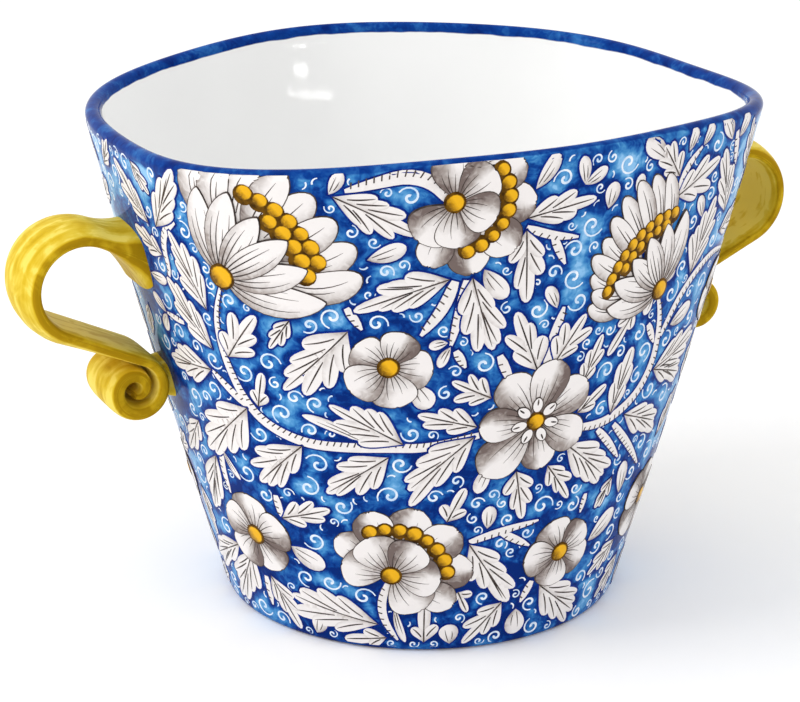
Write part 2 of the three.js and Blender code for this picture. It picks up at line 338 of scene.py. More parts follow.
FACES_APART = 30.0  # keeps the streaks of the two faces from being alike


def bar(sides):
    """A square with round corners: cosine and sine, each through its square root with the sign kept."""
    angle = np.linspace(0, 2 * math.pi, sides, endpoint=False)
    across, through = np.cos(angle), np.sin(angle)
    return np.sign(across) * np.sqrt(np.abs(across)), np.sign(through) * np.sqrt(np.abs(through))


def onto_wall(points):
    """Points deeper in the wall than clay sinks, moved out along their radius to that depth."""
    angle = np.arctan2(points[..., 1], points[..., 0])
    radius = np.hypot(points[..., 0], points[..., 1])
    surface = squeezed(thrown_radius(points[..., 2]), angle, points[..., 2])
    least = np.hypot(surface[..., 0], surface[..., 1]) - PRESSED_IN
    grow = (np.maximum(radius, least) / radius)[..., None]
    return points * np.concatenate([grow, grow, np.ones_like(grow)], axis=-1)


def stretches(root, loop, run, scroll):
    """A column of values along the strap, from a value or a row of values for each of its stretches."""
    counts = (ROOT_ROWS, LOOP_ROWS, RUN_ROWS, SCROLL_ROWS)
    parts = [np.broadcast_to(*pair) for pair in zip((root, loop, run, scroll), counts)]
    return np.concatenate(parts)[:, None]


def strap(side):
    """The strap's rings, with the distance along and across it, and its edge pooling, painted shade and
    painted light.

    A point is the middle line plus a share of the width to the side, and along the line's normal a share
    of the thickness plus a parabolic crown on the outer face.
    """
    loop, scroll, heading = handle_centres(side)
    leaves = arc(loop, LOOP_RADIUS, ROOT_LEAVES)
    inward = np.array([-math.sin(ROOT_LEAVES), math.cos(ROOT_LEAVES)])
    reach = (leaves[0] - wall_at_handle(leaves[1])) / -inward[0] + ROOT_INTO_WALL
    back = np.linspace(1, 0, ROOT_ROWS, endpoint=False)
    loop_end = heading + math.pi / 2 - 2 * math.pi
    run = np.linspace(0, 1, RUN_ROWS + 1, endpoint=False)[1:]
    turned = np.linspace(0, 2 * math.pi * SCROLL_TURNS, SCROLL_ROWS)
    run_start, run_end = arc(loop, LOOP_RADIUS, loop_end), scroll_line(scroll, heading, 0.0)
    middle = np.concatenate([
        leaves + inward * (reach * back)[:, None],
        arc(loop, LOOP_RADIUS, np.linspace(ROOT_LEAVES, loop_end, LOOP_ROWS)),
        run_start + (run_end - run_start) * run[:, None],
        scroll_line(scroll, heading, turned),
    ])
    flare, rolled = back**2, turned / turned[-1]
    width = stretches(STRAP_WIDTH + (ROOT_WIDTH - STRAP_WIDTH) * flare, STRAP_WIDTH, STRAP_WIDTH,
                      STRAP_WIDTH + (SCROLL_WIDTH - STRAP_WIDTH) * rolled)
    scroll_edge = STRAP_EDGE + (SCROLL_TIP - STRAP_EDGE) * rolled + SCROLL_FILL * np.sin(math.pi * rolled)
    edge = stretches(STRAP_EDGE + (ROOT_EDGE - STRAP_EDGE) * flare, STRAP_EDGE, STRAP_EDGE, scroll_edge)
    crown = stretches(STRAP_CROWN, STRAP_CROWN, STRAP_CROWN * (1 - run), 0.0)
    across, through = bar(STRAP_SIDES)
    ahead = np.gradient(middle, axis=0)
    ahead /= np.linalg.norm(ahead, axis=1, keepdims=True)
    out = edge / 2 * through + crown * (1 - across**2) * (through > 0)
    rings = np.stack([
        middle[:, None, 0] - ahead[:, None, 1] * out,
        width / 2 * across + side * HANDLE_SHIFT[side],
        middle[:, None, 1] + ahead[:, None, 0] * out,
    ], axis=-1)
    steps = np.linalg.norm(np.diff(middle, axis=0), axis=1)
    along = np.concatenate([[0], np.cumsum(steps)])[:, None]
    # painted shade where the strap meets the wall and in the scroll's inner turns
    pooling_and_shade = stretches(ROOT_PAINTED_SHADE * flare, 0.0, 0.0, SCROLL_PAINTED_SHADE * rolled)
    edges = np.interp(np.abs(across), (EDGE_STARTS, EDGE_FULL), (0.0, EDGE_POOL))
    # painted light on the loop's inner face, which lies in shade
    inner_painted_light = stretches(0.0, INNER_PAINTED_LIGHT, INNER_PAINTED_LIGHT * (1 - run), 0.0) * (through < INNER_FACE)
    sideways = width / 2 * across + FACES_APART * (through < 0)
    return onto_wall(rings), along, sideways, pooling_and_shade + edges - inner_painted_light


print("strap rings have", STRAP_SIDES, "points")

# %% [markdown]
# ### Pads and pieces
# A pad of clay fills the place between each scroll and the wall. The left handle is the right one turned
# half round the pot, with its own height and shift, so one loop makes both.

# %% Pads and pieces
PAD_WIDTH, PAD_HEIGHT, PAD_FOOT_WIDTH, PAD_FOOT_HEIGHT = 22.0, 15.0, 25.0, 20.0
PAD_INTO_WALL = 4.0
PAD_ROWS, PAD_SIDES = 14, 40
# painted shade on the pad, which lies between scroll and wall
PAD_PAINTED_SHADE = 0.06


def pad(side):
    """Rings from inside the wall out to the scroll, smeared wider where they meet the wall."""
    _, scroll, heading = handle_centres(side)
    nearest = scroll_line(scroll, heading, 1.5 * math.pi - heading)
    share = np.linspace(0, 1, PAD_ROWS)
    smear = (1 - share)[:, None] ** 2
    across, through = bar(PAD_SIDES)
    start = wall_at_handle(nearest[1]) - PAD_INTO_WALL
    wide = PAD_WIDTH + (PAD_FOOT_WIDTH - PAD_WIDTH) * smear
    high = PAD_HEIGHT + (PAD_FOOT_HEIGHT - PAD_HEIGHT) * smear
    rings = np.stack([
        start + (nearest[0] - start) * share[:, None] + 0 * across,
        wide / 2 * across + side * HANDLE_SHIFT[side],
        nearest[1] + high / 2 * through,
    ], axis=-1)
    return onto_wall(rings)


for name, side in (("right", 1), ("left", -1)):
    turn = np.array([side, side, 1])  # half a turn about the axis changes the sign of x and y
    rings, along, across, pooling_and_shade = strap(side)
    kept = {"along": along[None], "across": across[None], "pooling_and_shade": pooling_and_shade[None]}
    handle = loft(f"strap_handle_{name}", [((rings * turn)[None], kept)], HONEY_GLAZE)
    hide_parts(f"handle_{name}", f"root_slip_{name}")
    rings = pad(side)
    # the pad's glaze carries its painted shade
    kept = {"along": rings[None, ..., 2], "across": rings[None, ..., 1], "pooling_and_shade": PAD_PAINTED_SHADE}
    wad = loft(f"luting_pad_{name}", [((rings * turn)[None], kept)], HONEY_GLAZE)
    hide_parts(f"scroll_pad_{name}")

# %% [markdown]
# ## Brush strokes on the wall
# The painter works on the fired white glaze with a few strokes: a loaded brush pressed and lifted for a
# petal or a leaf's finger, a fine liner for outlines, veins and curls. Here a stroke is a thin closed
# shell. A middle line and a half width at each row are laid out flat in millimetres, then wrapped on the
# wall, with the sides and ends sunk below its surface so that no edge stands open. A stroke that lies
# over another is up to about a tenth of a millimetre higher, as real layers of paint are.

# %% Lay strokes on the wall
SLANT = 0.973  # rise in height for each millimetre up the slanted wall
PAINT_LOW, PAINT_HIGH = 2.5, LIP_Z + 1.8  # strokes stop at these heights
OVERRUN = 0.02  # share of what would go past them that is kept, so that no two rows fall together
SINK = 0.15  # how far the sides of a stroke go below the surface
BEVEL = 0.22  # how far from its edge a broad stroke begins to go down
RIM = 0.9  # marks the points across a broad stroke that lie on this bevel
FLAT_LEAST = 0.55  # share of a narrow stroke's half width that still stays flat
END_WIDTH = 0.7  # width of the sunk row at each end, as a share of the row beside it
BROAD = np.array([-1, -RIM, -0.5, 0, 0.5, RIM, 1])  # points across a broad stroke
FINE = np.array([-1, -0.8, 0.8, 1])  # and across a liner's stroke
HALVES = np.array([[0.0, 0.0], [180.0, 0.0]])  # the layout covers half the wall and is painted twice
painted = {"navy": [], "brown": [], "umber": [], "leaves": [], "petals": [], "lines": [], "curls": []}


def wrap(local, place):
    """Flat millimetres from a place, as an angle and a height: x over the wall's radius is an angle."""
    height = place[..., 1] + local[..., 1] * SLANT
    inside = np.clip(height, PAINT_LOW, PAINT_HIGH)
    z = inside + OVERRUN * (height - inside)
    return np.radians(place[..., 0]) + local[..., 0] / thrown_radius(np.minimum(z, LIP_Z)), z


def directions(spine):
    """Unit vectors ahead along a spine and to its right."""
    ahead = np.gradient(spine, axis=-2)
    ahead = ahead / np.linalg.norm(ahead, axis=-1, keepdims=True)
    return ahead, np.stack([ahead[..., 1], -ahead[..., 0]], axis=-1)


def brush(coat, place, spine, half, lift, across=BROAD, edge=0.0, shade=0.0, push=0.0):
    """Add strokes to a coat: spines of shape strokes, rows, two, with a half width at each row.

    A point is the spine plus its right-hand normal times the half width, plus a push ahead. An edge widens
    the stroke and moves its ends out by the fifth power of the place along it, which leaves the middle. One
    more row at each end, and the outer points of each row, are sunk.
    """
    ahead, right = directions(spine)
    share = np.linspace(-1, 1, spine.shape[1])
    grown = spine + ahead * (edge * share**5)[:, None]
    reach = (half + edge)[..., None] * across
    rim = np.maximum(half + edge - BEVEL, FLAT_LEAST * half)[..., None] * np.sign(across)
    reach = np.where(np.abs(across) == RIM, rim, reach)[..., None]
    flat = right[:, :, None] * reach + ahead[:, :, None] * np.broadcast_to(push, reach.shape[:3])[..., None]
    ends = [grown[:, row, None, None] + END_WIDTH * flat[:, row, None] + ahead[:, row, None, None] * step
            for row, step in ((0, -SINK), (-1, SINK))]
    local = np.concatenate([ends[0], grown[:, :, None] + flat, ends[1]], axis=1)
    rise = np.where(np.abs(across) < 1, np.reshape(lift, (-1, 1, 1)), -SINK)
    rise = np.broadcast_to(rise, (len(spine), len(share), len(across)))
    rise = np.pad(rise, ((0, 0), (1, 1), (0, 0)), constant_values=-SINK)
    tone = np.pad(np.broadcast_to(shade, reach.shape[:3]), ((0, 0), (1, 1), (0, 0)), mode="edge")
    for half_turn in HALVES:
        angle, z = wrap(local, (place + half_turn)[:, None, None])
        painted[coat].append((proud_of_wall(angle, z, rise), {"shade": tone}))


print("strokes have", len(BROAD), "or", len(FINE), "points across")

# %% [markdown]
# ### Filled shapes
# Leaves, petals and stems are all painted in the same order: the outline a little larger, the white fill
# over it, then the ribs. One function does all three, and notes what it covered for the filling later.

# %% Filled shapes
FIRST_ROW, LAST_ROW = 0.04, 0.96  # a stroke stops short of its ends, where its width would be nothing
LINER, FINE_LINER = 0.36, 0.28  # half widths of fine lines
LINE_SWELL = (0.15, 0.4)  # powers by which a fine line thins toward its base and its tip
FILL_STEP, RIB_STEP = 0.035, 0.075  # how far a fill and its ribs lie above the outline
covered = []  # angle, height and radius of discs that are taken


def swell(share, base, tip):
    """Width along a stroke: its share to one power times its rest to another, with a peak of one."""
    peak = base / (base + tip)
    return share**base * (1 - share)**tip / (peak**base * (1 - peak)**tip)


def rows(count):
    """Places along a stroke, closer together at its ends."""
    return (1 - np.cos(math.pi * np.linspace(FIRST_ROW, LAST_ROW, count))) / 2


def cover(place, spine, half):
    """Note the discs that strokes cover, for the filling later."""
    angle, z = wrap(spine, place[:, None])
    discs = np.stack([np.degrees(angle), z, np.broadcast_to(half, z.shape)], axis=-1)
    covered.append(discs[:, ::2].reshape(-1, 3))


def shape(coat, outline, place, spine, half, lift, ribs=(), shade=0.0, rib_half=LINER, rib_step=RIB_STEP,
          push=0.0, across=BROAD):
    """A filled shape over its outline, with ribs over it, each at a share of the half width."""
    under, edge = outline
    brush(under, place, spine, half, lift, edge=edge, push=push, across=across)
    brush(coat, place, spine, half, lift + FILL_STEP, shade=shade, push=push, across=across)
    cover(place, spine, half)
    _, right = directions(spine)
    for aside, first, last in ribs:
        middle = (spine + right * (half * aside)[..., None])[:, first:last]
        taper = np.broadcast_to(rib_half * swell(rows(last - first), *LINE_SWELL), middle.shape[:2])
        brush("lines", place, middle, taper, lift + rib_step, across=FINE)


print("a fill lies", FILL_STEP, "mm above its outline, and ribs", RIB_STEP, "mm")

# %% [markdown]
# ## Stems and leaves
# Stems wander between the flowers, with short ticks along one side. Each leaf is a fan of fingers pressed
# out from one point, with a vein along each finger and a dark blue stroke of ground drawn round it. A leaf
# is given by where it starts and where its tip is, as an angle round the wall and a height, and by its
# width. Small jitters keep two leaves from being alike.

# %% Stems
STEMS = (  # half width, then the angle in degrees and the height of points on the stem
    (2.2, (-104, 108), (-115, 103.5), (-122, 104.5), (-131, 104.5), (-140, 105.5), (-148, 112.5), (-152, 122),
     (-154.5, 136), (-155.5, 150), (-155, 163), (-152, 178)),
    (2.2, (-82, 104), (-75.5, 102.5), (-70, 104.5), (-64, 111), (-61, 121), (-60.5, 132), (-62, 147),
     (-65, 159)),
    (2.0, (-152, 120), (-160, 134)),
    (2.0, (-161, 203), (-165, 197), (-167, 188), (-166.5, 178), (-168, 172)),
    (1.8, (-164, 92), (-165.5, 82), (-165, 69)),
    (1.8, (-159.5, 28), (-160, 12)),
    (1.8, (-149.5, 76), (-149, 64)),
    (2.8, (-111.5, 214), (-114, 222), (-118, 225.5), (-122, 224), (-128, 221)),
    (1.8, (-98, 199), (-93, 194), (-88, 192)),
    (1.8, (-93, 194), (-90, 181)),
    (2.4, (-110, 179), (-112, 167), (-116, 156)),
    (2.0, (-108, 179), (-109, 165), (-110.5, 150)),
    (1.8, (-109.5, 148), (-107.5, 140)),
    (1.8, (-129, 170), (-126.5, 160)),
    (2.0, (-101, 144), (-98, 130)),
    (2.4, (-91, 135), (-90.5, 148), (-89, 162)),
    (1.8, (-104.5, 56), (-97, 60), (-87.5, 62)),
    (1.8, (-97, 59), (-89, 50)),
    (1.8, (-124, 36), (-126, 26), (-125.5, 16), (-122, 6)),
    (1.8, (-86.5, 31), (-89, 21)),
    (2.0, (-60, 136), (-56.5, 151), (-51, 162), (-45, 167), (-38, 165)),
    (1.8, (-65.5, 144), (-62, 134)),
    (1.8, (-75, 100), (-70, 91), (-65.5, 82)),
    (1.8, (-70, 100), (-61.5, 85), (-55, 73)),
    (1.8, (-49, 222), (-46, 206)),
    (1.5, (-74.5, 69), (-75, 60)),
    (1.5, (-166, 153), (-173, 154)),
    (1.8, (-65, 200), (-64, 212), (-60, 220)),
)
STEM_ROWS_APART, TICKS_APART = 3.0, 2.8
STEM_PRESS = 1.15  # a pressed brush paints this much wider
STEM_SHADE = 0.1
TICK_FROM, TICK_TO, TICK_LEAN = 1.05, 0.1, 0.6  # ends as shares of the half width, and its lean ahead
STEM_LIFT = 0.12
NAVY_EDGE = ("navy", 0.75)  # the dark stroke of ground round leaves and stems


def bend(start, middle, end, share):
    """Quadratic curves: three points mixed by the squares and product of a share and its rest."""
    rest = 1 - share
    return (start[:, None] * (rest**2)[:, None] + middle[:, None] * (2 * rest * share)[:, None]
            + end[:, None] * (share**2)[:, None])


def smooth_path(points, spacing):
    """Corners cut three times at a quarter and three quarters of each side, then evenly spaced points."""
    for _ in range(3):
        near = 0.75 * points[:-1] + 0.25 * points[1:]
        far = 0.25 * points[:-1] + 0.75 * points[1:]
        cut = np.stack([near, far], axis=1).reshape(-1, 2)
        points = np.concatenate([points[:1], cut, points[-1:]])
    along = np.concatenate([[0], np.cumsum(np.linalg.norm(np.diff(points, axis=0), axis=1))])
    even = np.linspace(0, along[-1], max(5, int(along[-1] / spacing)))
    return np.stack([np.interp(even, along, points[:, axis]) for axis in (0, 1)], axis=-1)


def flatten(points, place):
    """Angles and heights as flat millimetres from a place, the reverse of wrapping."""
    radius = thrown_radius(points[..., 1])
    return np.stack([np.radians(points[..., 0] - place[0]) * radius, (points[..., 1] - place[1]) / SLANT], -1)


for wide, *corners in STEMS:
    corners = np.array(corners, float)
    place = corners[0]
    spine = smooth_path(flatten(corners, place), STEM_ROWS_APART)
    half = STEM_PRESS * wide * swell(rows(len(spine)), base=0.12, tip=0.25)
    shape("leaves", NAVY_EDGE, place[None], spine[None], half[None], STEM_LIFT, shade=STEM_SHADE)
    ticks = smooth_path(flatten(corners, place), TICKS_APART)[1:-1]
    ahead, right = directions(ticks)
    start = ticks + right * wide * TICK_FROM
    end = ticks + right * TICK_TO * wide + ahead * TICK_LEAN
    marks = bend(start, (start + end) / 2, end, np.array([0.0, 0.5, 1.0]))
    brush("lines", np.repeat(place[None], len(marks), 0), marks, np.full(marks.shape[:2], LINER),
          STEM_LIFT + RIB_STEP, across=FINE)
print(len(STEMS), "stems on each half")

# %% Leaves
LEAVES = (  # angle and height of the base, then of the tip, and the width
    (-168, 197, -157.5, 228, 18), (-171, 197, -182, 217, 16), (-168, 184, -178, 191, 14),
    (-158, 145, -168, 173, 18), (-157, 164, -162, 197, 20), (-154, 143, -146.5, 166, 22),
    (-160, 134, -177, 131, 18), (-149, 121, -147, 138, 12), (-152, 119, -170, 89, 28),
    (-171, 102, -181, 82, 14), (-167, 87, -177.5, 52, 14), (-162.5, 39.5, -176, 6, 20),
    (-157.5, 29.5, -151, 5, 15), (-168, 40, -188, 21, 16), (-149, 64.5, -135.5, 73, 16),
    (-127, 14, -152, 22, 24), (-125, 7, -137, 4, 12), (-130, 219, -118, 203, 18),
    (-98, 203, -86, 209, 16), (-98, 198, -96.5, 169, 18), (-111, 180, -126.5, 171, 18),
    (-107, 180, -103, 144, 18), (-129, 159.5, -141.5, 129.5, 25), (-102, 125, -110.5, 134, 16),
    (-93, 135, -98.5, 162, 18), (-89.5, 137, -84, 157, 16), (-104.5, 112, -116.5, 120, 14),
    (-119.5, 106, -133.5, 124, 20), (-122.5, 100, -137, 81, 20), (-140.5, 104, -155, 81, 22),
    (-105, 107.5, -120, 82, 20), (-95, 88.5, -92, 65, 16), (-87.5, 88.5, -80, 72, 14),
    (-110, 67, -106.5, 83, 14), (-104.5, 55, -92.5, 23, 20), (-106.5, 31, -103.5, 18.5, 16),
    (-115, 5, -115, 24, 14), (-94.5, 23, -103.5, 5, 15), (-54, 161, -52, 195, 20),
    (-65, 200, -53.5, 210, 20), (-65.5, 209, -71.5, 225, 15), (-45, 185, -51, 214, 16),
    (-71, 153, -75.5, 137, 13), (-82, 124.5, -79, 143.5, 11), (-72, 106, -69.5, 136, 13),
    (-82, 111, -75, 120, 9), (-59.5, 120, -43, 128, 18), (-59.5, 120, -44, 113, 14),
    (-67, 103, -49, 90, 18), (-83.5, 97, -67, 73, 18), (-56, 36, -66, 23, 14),
    (-49.5, 24.5, -57, 5, 15), (-84, 28, -67, 4, 20), (-190, 213, -184, 226, 10),
)
OVALS = (  # the same for single leaves and buds
    (-176, 171, -169, 171.5, 6), (-173, 154, -178, 160, 6), (-173, 153, -175.5, 144, 7),
    (-148, 50, -139.5, 42, 11), (-145.5, 4, -143.5, 14, 8), (-130.5, 220, -128.5, 229, 6),
    (-88, 214, -89, 226, 6), (-88, 214, -84, 220, 6), (-105, 183, -100.5, 170, 9),
    (-125, 191, -118.5, 196, 8), (-117, 134, -114, 123, 10), (-97, 215, -93.5, 229, 7),
    (-90.5, 162, -93, 172, 6), (-101, 93, -103.5, 80, 7), (-100.5, 62, -100.5, 73, 7),
    (-108, 4, -109, 14, 9), (-90, 18, -89, 5, 10), (-61, 62, -62.5, 78, 8),
    (-69.5, 43, -61.5, 55, 10), (-63.5, 162, -60.5, 167, 6), (-66, 157, -67.5, 149, 6),
    (-70, 218, -76, 227, 9), (-64, 219, -63, 229, 6), (-60, 220, -58, 229, 6),
    (-50.5, 219, -54.5, 230, 8), (-47.5, 219, -45.5, 229, 8), (-55, 187, -57.5, 197, 6),
    (-76, 205, -76, 214, 6), (-82.5, 202, -82, 213, 8), (-57, 139.5, -50, 146, 9),
    (-110.5, 150, -112.5, 141, 5), (-111, 152, -114.5, 150.5, 5), (-127, 107, -139.5, 119.5, 5),
    (-163.5, 92, -159.5, 79, 4), (-122.5, 24, -120, 5, 4), (-196, 211, -204, 222, 9),
)
LEAF_LIFT, FINGER_LIFT = 0.2, 0.01  # of the middle finger, and how much higher each next one lies
FINGERS = ((33, 7), (20, 5), (0, 3))  # from each length up, how many fingers a leaf has
FINGER_HALF = {3: 0.15, 5: 0.112, 7: 0.09}  # half width of a finger, as a share of the leaf's length
SHORTER = 0.5  # share by which the outer fingers are shorter
BRANCH = 0.4  # how far up the middle vein, at most, a finger leaves it
SPREAD, SPREAD_AT = 0.66, 0.62  # how far out of the leaf's width the last finger is, and how far along
LEAST_SPREAD, MOST_SPREAD = 0.25, 0.85  # limits to the sine of its turn
TURN_JITTER, LENGTH_JITTER, WIDTH_JITTER = 2.5, 0.06, 0.08  # in degrees, and as shares
BEND_LENGTH, BEND_BRANCH, BEND_TURN = 0.45, 0.3, 0.35  # shares of each that place a finger's bend
FAN_WASH, OVAL_WASH = (0.5, 0.22), (0.4, 0.3)  # grey at the base of a leaf, and to one side
FINGER_ROWS, STALK_ROWS, VEIN_FROM = 11, 7, 4
VEIN, VEIN_STEP = 0.42, 0.11  # half width of a vein, and how far it lies above the outline
chance = np.random.default_rng(11)


def polar(reach, heading):
    """Flat points at a reach and a heading in degrees, clockwise from up."""
    turn = np.radians(heading)
    return np.stack([reach * np.sin(turn), reach * np.cos(turn)], axis=-1)


def measure(leaves):
    """Length and heading of leaves from base to tip, on the flat."""
    flat = np.stack([flatten(leaf[2:4], leaf[:2]) for leaf in leaves])
    return np.hypot(*flat.T), np.degrees(np.arctan2(flat[:, 0], flat[:, 1]))


def leaf_wash(share, at_base, aside):
    """How dark a leaf is washed: most at its base, and more to one side."""
    return (at_base * (1 - share[:, None]) ** 3 + aside * np.clip(BROAD, 0, 1))[None]


def fan_leaves(leaves, count):
    """Leaves as fans: curved strokes from the middle vein, shorter to the sides and bent out at the ends.

    The last finger's turn is the arc sine of its distance out over its distance along.
    """
    length, heading = measure(leaves)
    fan = np.linspace(-1, 1, count)
    spread = (SPREAD * leaves[:, 4] - FINGER_HALF[count] * length) / (SPREAD_AT * length)
    turn = np.degrees(np.arcsin(np.clip(spread, LEAST_SPREAD, MOST_SPREAD)))[:, None] * fan
    turn = turn + chance.normal(0, TURN_JITTER, turn.shape)
    size = (1 - SHORTER * np.abs(fan) ** 1.2) * (1 + chance.normal(0, LENGTH_JITTER, turn.shape))
    reach = (length[:, None] * size).ravel()
    ends = polar(reach, (heading[:, None] + turn).ravel())
    branch = length[:, None] * BRANCH * (1 - np.abs(fan)) * (fan != 0)
    starts = polar(branch.ravel(), np.repeat(heading, count))
    midway = BEND_LENGTH * length[:, None] * size + BEND_BRANCH * branch
    middles = polar(midway.ravel(), (heading[:, None] + BEND_TURN * turn).ravel())
    share = rows(FINGER_ROWS)
    spine = bend(starts, middles, ends, share)
    half = np.outer(np.repeat(length, count) * FINGER_HALF[count], swell(share, base=0.9, tip=0.4))
    half = half * (1 + chance.normal(0, WIDTH_JITTER, (len(half), 1)))
    lift = LEAF_LIFT + FINGER_LIFT * np.tile(np.abs(np.arange(count) - count // 2), len(leaves))
    places = np.repeat(leaves[:, :2], count, 0)
    veins = ((0.0, VEIN_FROM, FINGER_ROWS - 1),)
    dark = leaf_wash(share, *FAN_WASH)
    shape("leaves", NAVY_EDGE, places, spine, half, lift, veins, dark, VEIN, VEIN_STEP)
    middle = np.tile(fan == 0, len(leaves))
    stalk = spine[middle][:, :STALK_ROWS]
    taper = np.broadcast_to(VEIN * swell(rows(STALK_ROWS), *LINE_SWELL), stalk.shape[:2])
    brush("lines", places[middle], stalk, taper, lift[middle] + VEIN_STEP, across=FINE)


def oval_leaves(leaves):
    """Single leaves: one full stroke each, with two short lines inside."""
    length, heading = measure(leaves)
    share = rows(FINGER_ROWS)
    ends = polar(length, heading)
    spine = bend(np.zeros_like(ends), polar(0.5 * length, heading + 9), ends, share)
    half = 0.5 * leaves[:, 4:5] * swell(share, base=0.8, tip=0.5)
    dark = leaf_wash(share, *OVAL_WASH)
    ribs = ((-0.3, 2, 8), (0.35, 3, 7))
    shape("leaves", NAVY_EDGE, leaves[:, :2], spine, half, LEAF_LIFT, ribs, dark, FINE_LINER)


leaves = np.array(LEAVES, float)
lengths, _ = measure(leaves)
longest = np.inf
for least, count in FINGERS:
    fan_leaves(leaves[(lengths >= least) & (lengths < longest)], count)
    longest = least
oval_leaves(np.array(OVALS, float))
print(len(LEAVES), "leaves and", len(OVALS), "single ones on each half")

# %% [markdown]
# ## Flowers
# Three kinds of flower are painted: open ones seen from the front, cups seen from the side with a row of
# beads, and half-open ones with long pointed petals and two rows of beads. Petals are white with a soft grey
# wash to one side and fine lines from the middle. Each lies over or under its neighbours, so neighbours are
# given different layers.

# %% Petals
FLOWER_LIFT = 0.32
LAYER = 0.11  # from one layer of petals to the next
PETAL_ROWS = 14
PETAL_WIDEST = 0.66  # share of its reach at which a round petal spans its angle
LOBE_DEPTH = 0.045  # share of its reach
LEAST_WASH = 0.4  # the palest grey wash on a round petal, where 1 is full
BOW, MOST_BOW = 0.36, 20  # bow of a long petal for each degree that it leans, and its limit
SCALLOPED = np.array([-1, -RIM, -0.7, -0.5, -0.25, 0, 0.25, 0.5, 0.7, RIM, 1])  # across a petal with lobes
BROWN_EDGE = ("brown", 0.4)


def round_petals(place, heading, reach, wide, layer, inner=0.1, lobes=2, grey=1.2):
    """Petals as wide strokes outward with round ends, pushed in and out by a cosine to make lobes."""
    count = len(heading)
    share = rows(PETAL_ROWS)
    ends, starts = polar(reach, heading), polar(reach * inner, heading)
    spine = bend(starts, (starts + ends) / 2, ends, share)
    width = swell(share, base=0.85, tip=0.42)
    half = np.outer(PETAL_WIDEST * reach * np.tan(np.radians(wide / 2)), width)
    wave = np.cos(math.pi * lobes * SCALLOPED + math.pi * (lobes - 1))
    push = LOBE_DEPTH * reach[:, None, None] * (width * share**3)[:, None] * wave
    side = np.sign(chance.normal(0, 1, count))[:, None, None]
    wash = chance.uniform(LEAST_WASH, 1.0, count)[:, None, None] * grey
    dark = 0.6 * (1 - share[:, None]) ** 2 + wash * np.clip(side * SCALLOPED + 0.1, 0, 1) ** 1.2
    ribs = ((-0.62, 1, 8), (-0.33, 1, 9), (-0.02, 1, 8), (0.3, 1, 10), (0.62, 1, 8))
    places = np.repeat(place[None], count, 0)
    lift = FLOWER_LIFT + LAYER * np.asarray(layer)
    shape("petals", BROWN_EDGE, places, spine, half, lift, ribs, dark, FINE_LINER, push=push,
          across=SCALLOPED)


def long_petals(place, heading, centre, reach, thin, layer, ribs, inner=0.04, tip=0.7, grey=0.5):
    """Pointed petals whose middle lines bow away from the flower's own heading."""
    bow = np.clip((heading - centre) * BOW, -MOST_BOW, MOST_BOW)
    share = rows(PETAL_ROWS)
    ends, starts = polar(reach, heading), polar(reach * inner, heading)
    spine = bend(starts, polar((0.5 + inner / 2) * reach, heading + bow), ends, share)
    half = np.outer(reach * thin, swell(share, base=0.7, tip=tip))
    side = np.sign(heading - centre + 0.01)[:, None, None]
    dark = np.clip(side * BROAD, 0, 1) ** 1.3 * grey * (1 - 0.6 * share[:, None])
    dark = dark + 0.45 * (1 - share[:, None]) ** 2.5
    lift = FLOWER_LIFT + LAYER * np.asarray(layer)
    shape("petals", BROWN_EDGE, np.repeat(place[None], len(heading), 0), spine, half, lift, ribs, dark)


print("petal layers are", LAYER, "mm apart")

# %% Beads
BEAD_HEIGHT, BEAD_SIDES = 0.35, 14
BEAD_RINGS = np.radians([-20, 10, 32, 54, 76])[:, None]  # how far up the dome each ring lies
BEAD_LIT_FROM = math.radians(35)  # where round it a bead is painted pale
BEAD_TONE, BEAD_SHADOW = 0.16, 0.9  # how dark its top is, and how much darker it gets away from there
GROUND_ROWS, GROUND_END = 9, 0.97  # rows of the round dark stroke, and the share of its radius at its ends
GROUND_IN = 0.97  # it lies this much nearer the flower's middle than its bead does
BEADS_APART = 2.1  # in radii, from one bead of a row to the next
BEAD_JITTER = 0.06
beads = []


def bead(place, local, radius, layer, ground=0.9):
    """Low domes at flat points: rings of a half ellipse, with a flat dark stroke under each."""
    lift = FLOWER_LIFT + LAYER * layer
    turn = np.linspace(0, 2 * math.pi, BEAD_SIDES, endpoint=False)
    around = np.stack([np.cos(turn), np.sin(turn)], axis=-1)
    spread = radius[:, None, None, None] * np.cos(BEAD_RINGS)[..., None] * around
    places = np.repeat(place[None], len(local), 0)
    height = lift + FILL_STEP + BEAD_HEIGHT * np.sin(BEAD_RINGS) + np.zeros((len(local), 1, BEAD_SIDES))
    dark = np.clip(BEAD_TONE - BEAD_SHADOW * np.cos(BEAD_RINGS) * np.cos(turn - BEAD_LIT_FROM), 0, 1)
    dark[:2] = 1.0  # the rim
    for half_turn in HALVES:
        angle, z = wrap(local[:, None, None] + spread, (places + half_turn)[:, None, None])
        beads.append((proud_of_wall(angle, z, height), {"shade": dark[None]}))
    reach = radius + ground
    span = np.linspace(-GROUND_END, GROUND_END, GROUND_ROWS)
    spine = local[:, None] * GROUND_IN + np.stack([0 * span, span], axis=-1) * reach[:, None, None]
    brush("umber", places, spine, reach[:, None] * np.sqrt(1 - span**2), lift)
    cover(places, local[:, None], radius[:, None])


def middle_bead(place, radius, layer):
    """One bead on the flower's own place."""
    bead(place, np.zeros((1, 2)), np.array([radius]), layer)


def bead_row(place, reach, low, high, radius, layer):
    """Beads side by side along an arc about the flower's place."""
    spacing = math.degrees(BEADS_APART * radius / reach)
    heading = np.arange(low, high + 0.5 * spacing, spacing)
    size = radius * (1 + chance.normal(0, BEAD_JITTER, len(heading)))
    bead(place, polar(reach + 0 * heading, heading), size, layer, ground=1.3)


print("beads stand", BEAD_HEIGHT, "mm proud of their petals")

